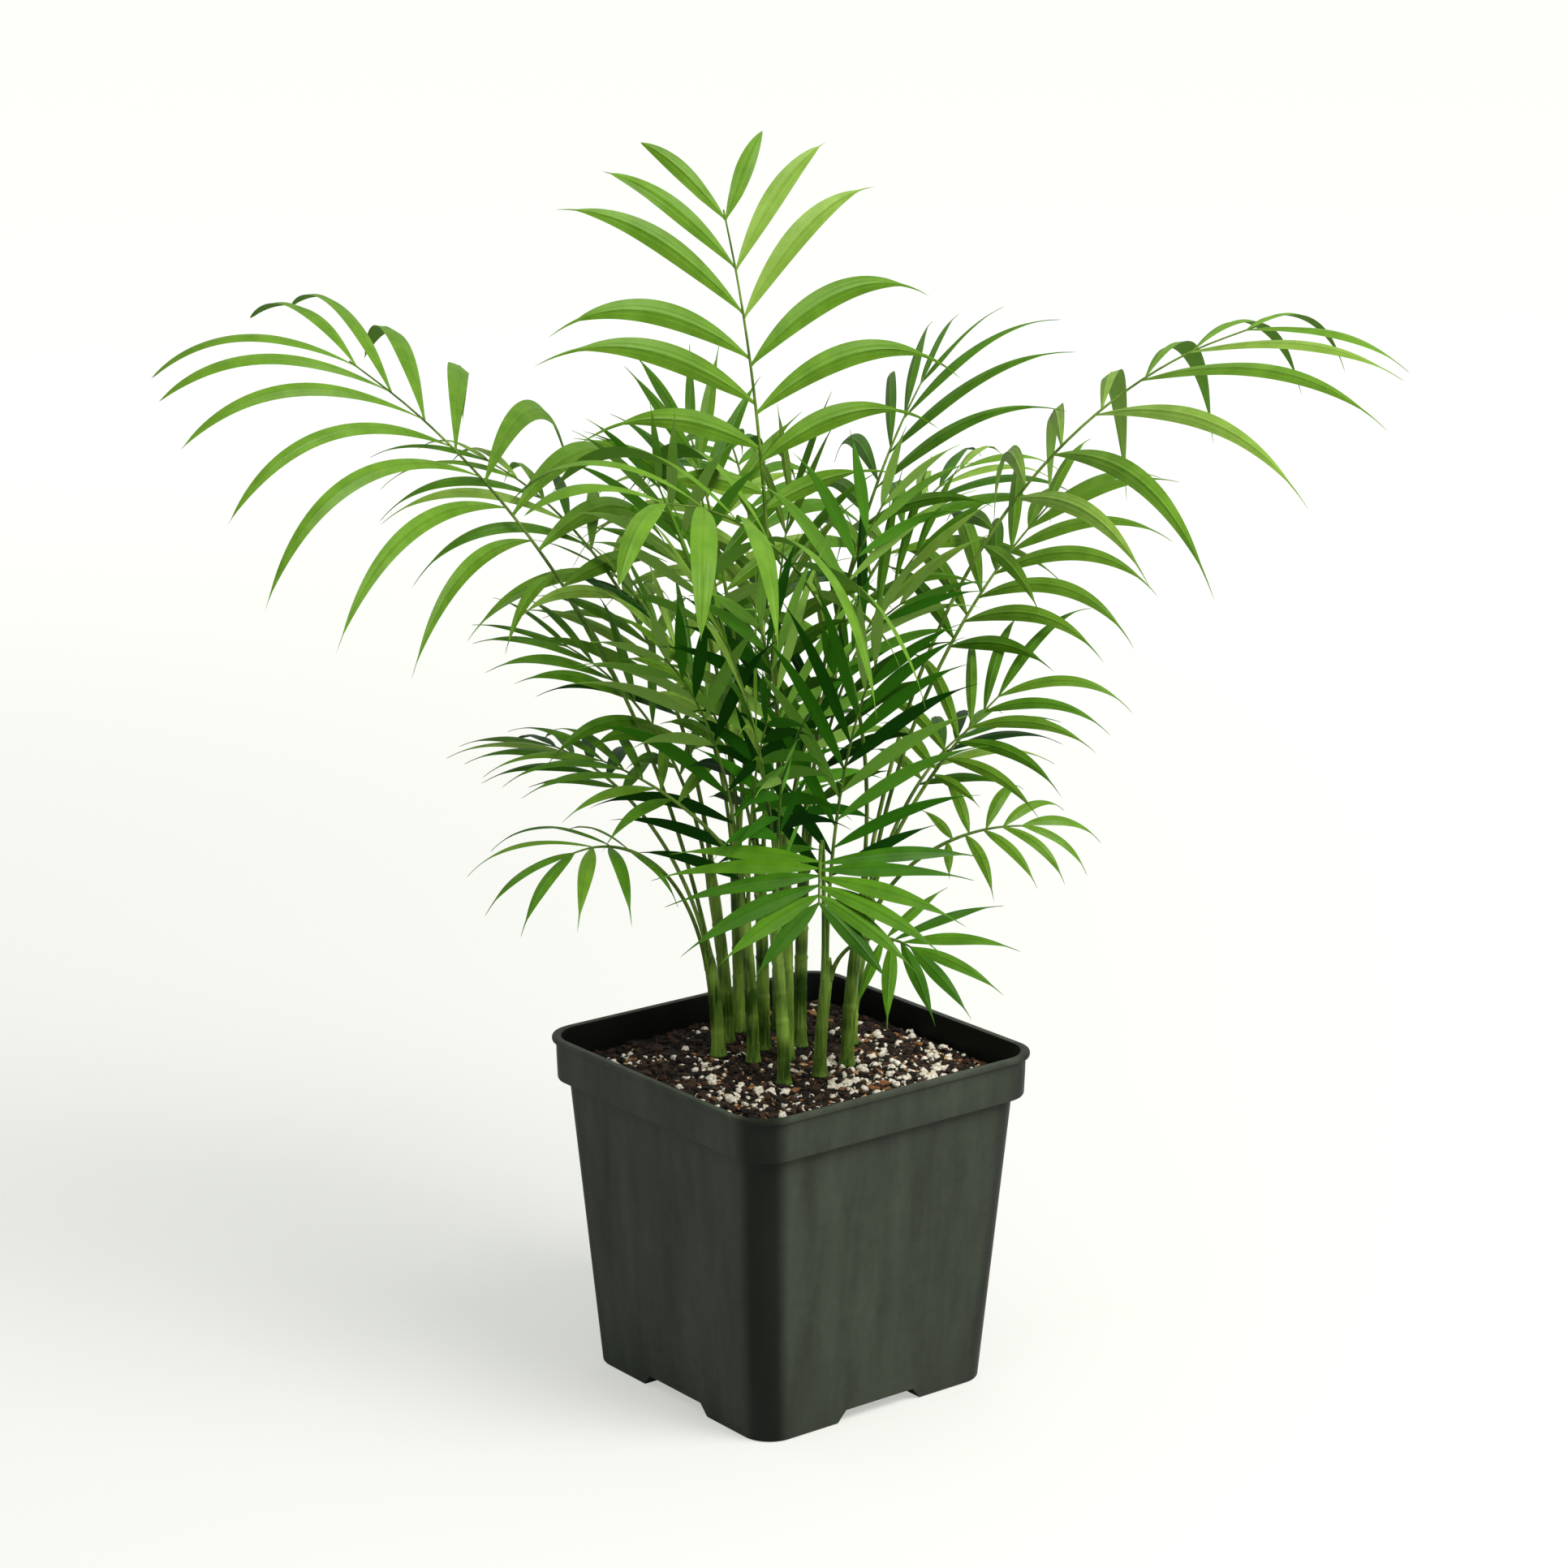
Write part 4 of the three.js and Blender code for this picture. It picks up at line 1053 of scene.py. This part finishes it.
def add_stalk(bm, frond, fine):
    last = len(fine) - 1

    def corner(ring, column):
        point, along, side, face = fine[ring]
        turn = math.tau * column / STALK_SIDES
        radius = stalk_radius(frond, ring / last)
        upper = FLAT_TOP if math.sin(turn) > 0.3 else 1.0
        return point + side * (math.cos(turn) * radius) + face * (math.sin(turn) * radius * upper)

    wrap_rings(bm, len(fine), STALK_SIDES, corner, (fine[0][0], fine[-1][0]))


print("stalk radius at foot and tip:", [round(stalk_radius(FRONDS["crown"], s), 2) for s in (0, 1)], "mm")

# %% [markdown]
# ## Leaflets: plan and path
# A plan says where each leaflet leaves the rib, which way it sets out and how big it is, with small
# differences from chance numbers that are the same on every run. The path then sags more and more
# under the leaflet's own weight. Where a leaflet would have touched another, the plain model lifted or
# shortened it. Its tip tells which of the trials it took, so the fine leaflet takes the same one.

# %% Leaflet plan and path
LEAFLET = dict(
    angles=(62, 20), rise=10, stagger=0.16, ends=(0.72, 0.62), longest=0.35, outline=(0.9, 0.9),
    first_pair=0.2, sag=(0.4, 1.2), uneven_length=0.06, uneven_angle=4, uneven_droop=0.2,
    bend_steps=16, slimmest=0.5,
)
LIFTS = (0, 8, -8, 16, -16)
GROWTHS = (1, 0.8, 0.6)
SAME_TIP = 0.1 * MM  # a tip this close to a corner of the plain model is that leaflet's


def chance(number):
    """A repeatable number from -1 to 1 for each number."""
    wave = math.sin(number * 12.9898 + 78.233) * 43758.5453
    return (wave - math.floor(wave)) * 2 - 1


def length_share(t, lowest, last):
    """How long a leaflet is at t along the rib, from the lowest pair to the last."""
    longest = LEAFLET["longest"]
    if t < longest:
        return mix(lowest, 1, math.sin(t / longest * math.pi / 2))
    return mix(last, 1, math.cos((t - longest) / (1 - longest) * math.pi / 2))


def leaflet_plan(frond, stations, draw):
    shaft = frond["stalk"] + frond["rib"]
    spacing = frond["rib"] / (frond["pairs"] - 0.5)
    rise = math.radians(frond.get("rise", LEAFLET["rise"]))
    plan = []
    for pair in range(frond["pairs"]):
        t = pair / (frond["pairs"] - 1)
        for hand in (1, -1):
            draw += 3
            out = spacing * (pair + LEAFLET["first_pair"] + LEAFLET["stagger"] * hand * (1 - t))
            share = (frond["stalk"] + out) / shaft
            point, along, side, face = station_at(stations, share)
            angle = mix(*frond.get("angles", LEAFLET["angles"]), t)
            angle = math.radians(angle + LEAFLET["uneven_angle"] * chance(draw))
            aside = side * (hand * math.cos(rise)) + face * math.sin(rise)
            size = length_share(t, *frond.get("ends", LEAFLET["ends"]))
            uneven = 1 + LEAFLET["uneven_droop"] * chance(draw + 2) + frond.get("skew", 0) * hand
            leaf = dict(
                share=share,
                root=point,
                heading=along * math.cos(angle) + aside * math.sin(angle),
                face=face,
                length=frond["leaf"] * size * (1 + LEAFLET["uneven_length"] * chance(draw + 1)),
                width=frond["width"] * mix(LEAFLET["slimmest"], 1, size),
                droop=frond["droop"] * size * uneven,
                hand=hand,
                draw=draw,
            )
            plan.append(leaf)
    return plan


def walk_leaflet(leaf, lift, growth):
    """The middle line of a leaflet: place, side and upper face at each bend step."""
    along = (leaf["heading"] + Vector((0, 0, math.tan(math.radians(lift))))).normalized()
    across = along.cross(leaf["face"]).normalized()
    place = leaf["root"].copy()
    steps = LEAFLET["bend_steps"]
    path = []
    for step in range(steps + 1):
        path.append((place.copy(), across.copy(), across.cross(along).normalized()))
        along.z -= leaf["droop"] * (LEAFLET["sag"][0] + LEAFLET["sag"][1] * step / steps) / steps
        along.normalize()
        across = (across - along * across.dot(along)).normalized()
        place += along * (leaf["length"] * growth / steps)
    return path


def tips_of(node):
    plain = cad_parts[node]
    corners = plain.data.vertices
    tree = kdtree.KDTree(len(corners))
    for index, corner in enumerate(corners):
        tree.insert(plain.matrix_world @ corner.co, index)
    tree.balance()
    return tree


def grown_path(leaf, tips):
    """The path that the plain model's leaflet took, or None where it has no such leaflet."""
    for growth in GROWTHS:
        for lift in LIFTS:
            path = walk_leaflet(leaf, lift, growth)
            if tips.find(path[-1][0] * MM)[2] < SAME_TIP:
                return path
    return None


crown_plan = leaflet_plan(FRONDS["crown"], walk_frond(FRONDS["crown"]), 0)
print("longest leaflet of the crown:", round(max(leaf["length"] for leaf in crown_plan)), "mm")

# %% [markdown]
# ## Leaflets: blade
# A palm leaflet is folded like a roof along its midrib, which stands up as a thin ridge, with a fainter
# ridge on each half. It is a fifth of a millimetre thick. It could be a plane with a leaf's picture on
# it, but a closed blade keeps its own outline from every side. The cross-section is drawn once, as
# points across the upper side and back across the lower side, and scaled by the leaflet's outline.

# %% Leaflet blade
UPPER = (-1, -0.74, -0.54, -0.45, -0.36, -0.09, 0, 0.09, 0.36, 0.45, 0.54, 0.74, 1)
LOWER = (0.6, 0.12, -0.12, -0.6)
SECTION = UPPER + LOWER
THICKNESS = 0.2
BLUNTING = (0.4, 0.25)  # how far a blunt leaflet's widest place moves out, and how much fuller it is
FULLNESS = (1.06, 0.9)  # at the root and at the tip
TIP_WIDTH, TIP_TAPER = 0.14, 0.8  # of the drip tip, as shares of half the width
ROOF = 0.17  # how far the margins hang below the midrib, as a share of half the width
MIDRIB, MIDRIB_WIDTH = 0.24, 0.07  # how high it stands, and its width as a share of half the blade's
SIDE_VEIN, SIDE_VEIN_WIDTH = 0.07, 0.06
SIDE_VEIN_PLACE = 0.45
TWIST = math.radians(14)  # the most that a blade turns on its way to the tip
SWEEP = (0.03, 0.02)  # how far a tip bends aside as a share of the length: the usual, and by chance
WAVE_DEPTH, WAVE_TURNS = 0.08, 8  # the margin's wave, as a share of half the width, and in radians


def blade_outline(t, blunt, drip):
    """Half width at t as a share of the widest. A blunt leaflet is widest past its middle. The last
    part, drip as a share of the length, is a thin tip that sheds water."""
    widest_at, roundness = LEAFLET["outline"]
    widest_at += BLUNTING[0] * blunt
    body = min(1, t / (1 - drip))
    full = math.sin(math.pi * body**widest_at) ** (roundness - BLUNTING[1] * blunt)
    return max(full * mix(*FULLNESS, t), min(TIP_WIDTH, TIP_TAPER * (1 - t)))


def blade_height(across, half):
    """How high the cross-section stands over the path, in millimetres."""
    relief = min(1, half / 3)
    height = -ROOF * half * abs(across) ** 1.2
    if across in LOWER:
        return height - THICKNESS - MIDRIB * relief * max(0, 1 - 4 * abs(across))
    vein = math.exp(-(((abs(across) - SIDE_VEIN_PLACE) / SIDE_VEIN_WIDTH) ** 2))
    return height + relief * (MIDRIB * math.exp(-((across / MIDRIB_WIDTH) ** 2)) + SIDE_VEIN * vein)


def add_blade(bm, leaf, path, width, tone, blunt, drip):
    steps = len(path) - 1
    twist = TWIST * chance(leaf["draw"] + 0.5)
    sweep = leaf["hand"] * leaf["length"] * (SWEEP[0] + SWEEP[1] * chance(leaf["draw"] + 0.7))
    wave_start = 9 * chance(leaf["draw"] + 0.9)
    frames = []
    for step, (point, side, up) in enumerate(path):
        t = step / steps
        half = width / 2 * blade_outline(t, blunt, drip)
        across = side * math.cos(twist * t) + up * math.sin(twist * t)
        above = up * math.cos(twist * t) - side * math.sin(twist * t)
        wave = WAVE_DEPTH * half * math.sin(WAVE_TURNS * t + wave_start)
        frames.append((point + side * (sweep * t * t), across, above, half, wave))

    def corner(ring, column):
        point, across, above, half, wave = frames[ring]
        u = SECTION[column]
        return point + across * (u * half) + above * (blade_height(u, half) + wave * u * abs(u))

    def material_at(column):
        return 2 * tone + (column >= len(UPPER) - 1)

    def uv_at(row, column):
        half = frames[min(max(row - 1, 0), steps)][3]
        return SECTION[column] * half, row * leaf["length"] / steps

    wrap_rings(bm, steps, len(SECTION), corner, (frames[0][0], frames[-1][0]), material_at, uv_at)


print("blade section:", len(UPPER), "points above,", len(LOWER), "below")

# %% [markdown]
# ## Leaf finishes
# A palm leaf is green all through, satin above and duller below, and young leaves are lighter and
# yellower than old ones. The colour could vary by an image or by one ramp over the whole plant. Here
# there are seven plain greens, from the oldest leaf to the youngest, each with its own under side, and
# each leaflet is given one. The darkest of them also paint the shade deep in the clump. Each under side
# is lighter than its upper side: partly the paler back of a leaf, partly painted light for undersides
# that lie in shade. The veins along a leaflet are half a millimetre apart. They follow its own
# UV map, and are drawn 1.3 mm apart so that they show.

# %% Leaf materials
VEIN_SPACING = 1.3  # mm
BLOTCH = 9 * MM
UPPER_FINISH = (0.42, 0.14)  # roughness and specular level
UNDER_FINISH = (0.6, 0.05)


def leaf_material(name, colour, deep, roughness, sheen):
    material, tree, shader, place = new_material(name)
    pattern = {"Vector": place, "Scale": 1 / BLOTCH, "Detail": 3.0, "Roughness": 0.55}
    cloud = add_node(tree, "ShaderNodeTexNoise", pattern).outputs["Fac"]
    along = add_node(tree, "ShaderNodeUVMap", uv_map=LEAF_UV).outputs["UV"]
    pattern = {"Vector": along, "Scale": math.tau / 20 / VEIN_SPACING, "Distortion": 0.6, "Detail": 1.0}
    veins = add_node(tree, "ShaderNodeTexWave", pattern, bands_direction="X").outputs["Fac"]
    stops = [(0.3, deep), (0.66, colour)]
    finish = {"Roughness": roughness, "Specular IOR Level": sheen}
    colour_and_relief(tree, shader, cloud, stops, veins, 0.25, 0.06 * MM, finish)
    return material


LEAF_TONES = (
    # upper side, its deeper patches, and under side, which is lighter partly as painted light
    ("#0d3601", "#072901", "#113f05"),
    ("#184a03", "#113c02", "#1b5107"),
    ("#35640a", "#295507", "#32710f"),
    ("#4a7913", "#3d690c", "#528e25"),
    ("#5f8923", "#507917", "#699b36"),
    ("#799c3d", "#6a8d2e", "#80aa4a"),
    ("#97b163", "#86a250", "#97b967"),
)
leaf_materials = []
for number, (upper, deep, under) in enumerate(LEAF_TONES, 1):
    for side, *look in (("upper", upper, deep, *UPPER_FINISH), ("under", under, under, *UNDER_FINISH)):
        leaf_materials.append(leaf_material(f"palm leaf, {side} side, tone {number}", *look))
print("leaf materials:", len(leaf_materials))

# %% [markdown]
# ## Fronds: tones
# A frond's leaflets are of one age, so a frond that stands free has a tone of its own, and each leaflet
# strays from it by chance. In the heart of the clump, old leaves sit low in the shade and young ones
# open above them, so a leaflet's tone there goes with its height and with more chance. The darker
# greens low down are partly age and partly painted shade, and the lighter ones higher up partly youth
# and partly painted light.

# %% Tones of the leaflets
FROND_TONE = dict(
    crown=4.1, left_arch=4.0, right_arch=4.3, front_arch=4.2, back_right_high=3.0, left_back_high=3.2,
    right_mid=3.8, right_low=3.6, right_small=3.9, front_small=2.8, front_fan=2.3, left_low=3.7,
    left_small=3.5, left_mid=3.0,
)
TONE_SPREAD = 0.5
INNER_TONE, INNER_SPREAD = 3.3, 2.6
INNER_LIGHTEST = 5
SHADE_HEIGHT = 290  # mm; inner leaflets above it are lighter, partly for youth and partly as painted light; those below it darker, partly for age and partly as painted shade
SHADE_STEP = 45  # mm to one tone lighter or darker
SHADE_LIMITS = (-2.2, 1.5)  # tones, at the foot and at the top of the clump


def tone_of(name, leaf):
    """Which of the leaf tones a leaflet gets, by its frond, its height and chance. In the heart, height
    gives painted shade low down and painted light higher up, as well as age.
    """
    luck = chance(leaf["draw"] + 0.3)
    if name in FROND_TONE:
        return round(min(len(LEAF_TONES) - 1, FROND_TONE[name] + TONE_SPREAD * luck))
    # in the heart, darker low down and lighter higher up: partly age, partly painted shade and light
    higher = (leaf["root"].z - SHADE_HEIGHT) / SHADE_STEP
    tone = INNER_TONE + min(SHADE_LIMITS[1], max(SHADE_LIMITS[0], higher)) + INNER_SPREAD * luck
    return round(min(INNER_LIGHTEST, max(0, tone)))


print("fronds with a tone of their own:", len(FROND_TONE))

# %% [markdown]
# ## Fronds
# All leaflets are modelled, as closed blades, and joined in four pieces so that none is too heavy to
# export: the crown with the long arches, the low fronds, the heart of the clump and the far side. The
# stalks with their ribs are a piece of their own. The plain model's leaflets are all of one outline.
# Here they are broader or slimmer by frond, blunt towards the end of the great fronds, and end in a
# drip tip, the thin point that sheds water.

# %% Fronds
LOW_FRONDS = ("right_low", "right_small", "front_small", "front_fan", "left_low", "left_small")
BLUNT_FRONDS = ("crown", "left_arch", "front_arch")
INNER_WIDTH = 0.84  # of the leaflets in the heart of the clump, as a share of the plain model's
ROW_WIDTHS = dict(crown=(0.9, 0.9), left_arch=(0.72, 1), left_small=(1.25, 1.25))  # of the two hands
DRIP_TIP = 0.12  # its length as a share of the leaflet's
DRIP_TIPS = dict(crown=0.28, left_arch=0.08, right_arch=0.1)
BLADE_PARTS = 2  # into which each bend step of a leaflet is smoothed
ROOT_BLEND = 5  # bend steps over which a leaflet is drawn onto the smooth rib
GROUPS = ("high", "low", "heart", "far")
LEAF_MARGIN = math.radians(60)  # an edge sharper than this is a margin, and isn't shaded smooth


def group_of(name):
    if name in LOW_FRONDS:
        return "low"
    if "back" in name or "rear" in name:
        return "far"
    return "high" if name in FROND_TONE else "heart"


def on_smooth_rib(path, shift):
    """Draws the first steps of a leaflet from the plain model's straight-sided rib to the smooth one."""
    fades = [max(0.0, 1 - step / ROOT_BLEND) for step in range(len(path))]
    return [(point + shift * fade, *ways) for fade, (point, *ways) in zip(fades, path)]


def make_fronds():
    leaves = {group: bmesh.new() for group in GROUPS}
    stalks = bmesh.new()
    missing = 0
    for order, (name, frond) in enumerate(FRONDS.items()):
        stations = walk_frond(frond)
        fine = smooth_stations(stations, SHAFT_PARTS)
        add_stalk(stalks, frond, fine)
        tips = tips_of("frond_" + name)
        blades = bmesh.new()
        for leaf in leaflet_plan(frond, stations, order * 100):
            path = grown_path(leaf, tips)
            if not path:
                missing += 1
                continue
            path = on_smooth_rib(path, station_at(fine, leaf["share"])[0] - leaf["root"])
            tone = tone_of(name, leaf)
            out = leaf["share"] * (frond["stalk"] + frond["rib"]) - frond["stalk"]
            blunt = max(0, out / frond["rib"]) if name in BLUNT_FRONDS else 0
            usual = 1 if name in FROND_TONE else INNER_WIDTH
            width = leaf["width"] * ROW_WIDTHS.get(name, (usual, usual))[leaf["hand"] < 0]
            drip = DRIP_TIPS.get(name, DRIP_TIP) * (1 - blunt)
            add_blade(blades, leaf, smooth_stations(path, BLADE_PARTS), width, tone, blunt, drip)
        pour(blades, leaves[group_of(name)])
    bmesh.ops.recalc_face_normals(stalks, faces=stalks.faces)
    print("leaflets left out, as in the plain model:", missing)
    return stalks, leaves


def settle(bm, name, materials, nodes):
    """Finishes a piece of the fronds and puts it in place of its plain nodes."""
    piece = finished_object(name, bm)
    piece.data.set_sharp_from_angle(angle=LEAF_MARGIN)
    for material in materials:
        piece.data.materials.append(material)
    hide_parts(*nodes)
    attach(piece, "root")
    print(name + ":", len(piece.data.polygons), "faces")


stalk_bm, leaf_bms = make_fronds()
settle(stalk_bm, "stalks", [stalk_skin], ["frond_" + name for name in FRONDS])
for group, leaf_bm in leaf_bms.items():
    members = ["frond_" + name for name in FRONDS if group_of(name) == group]
    settle(leaf_bm, "leaflets_" + group, leaf_materials, members)
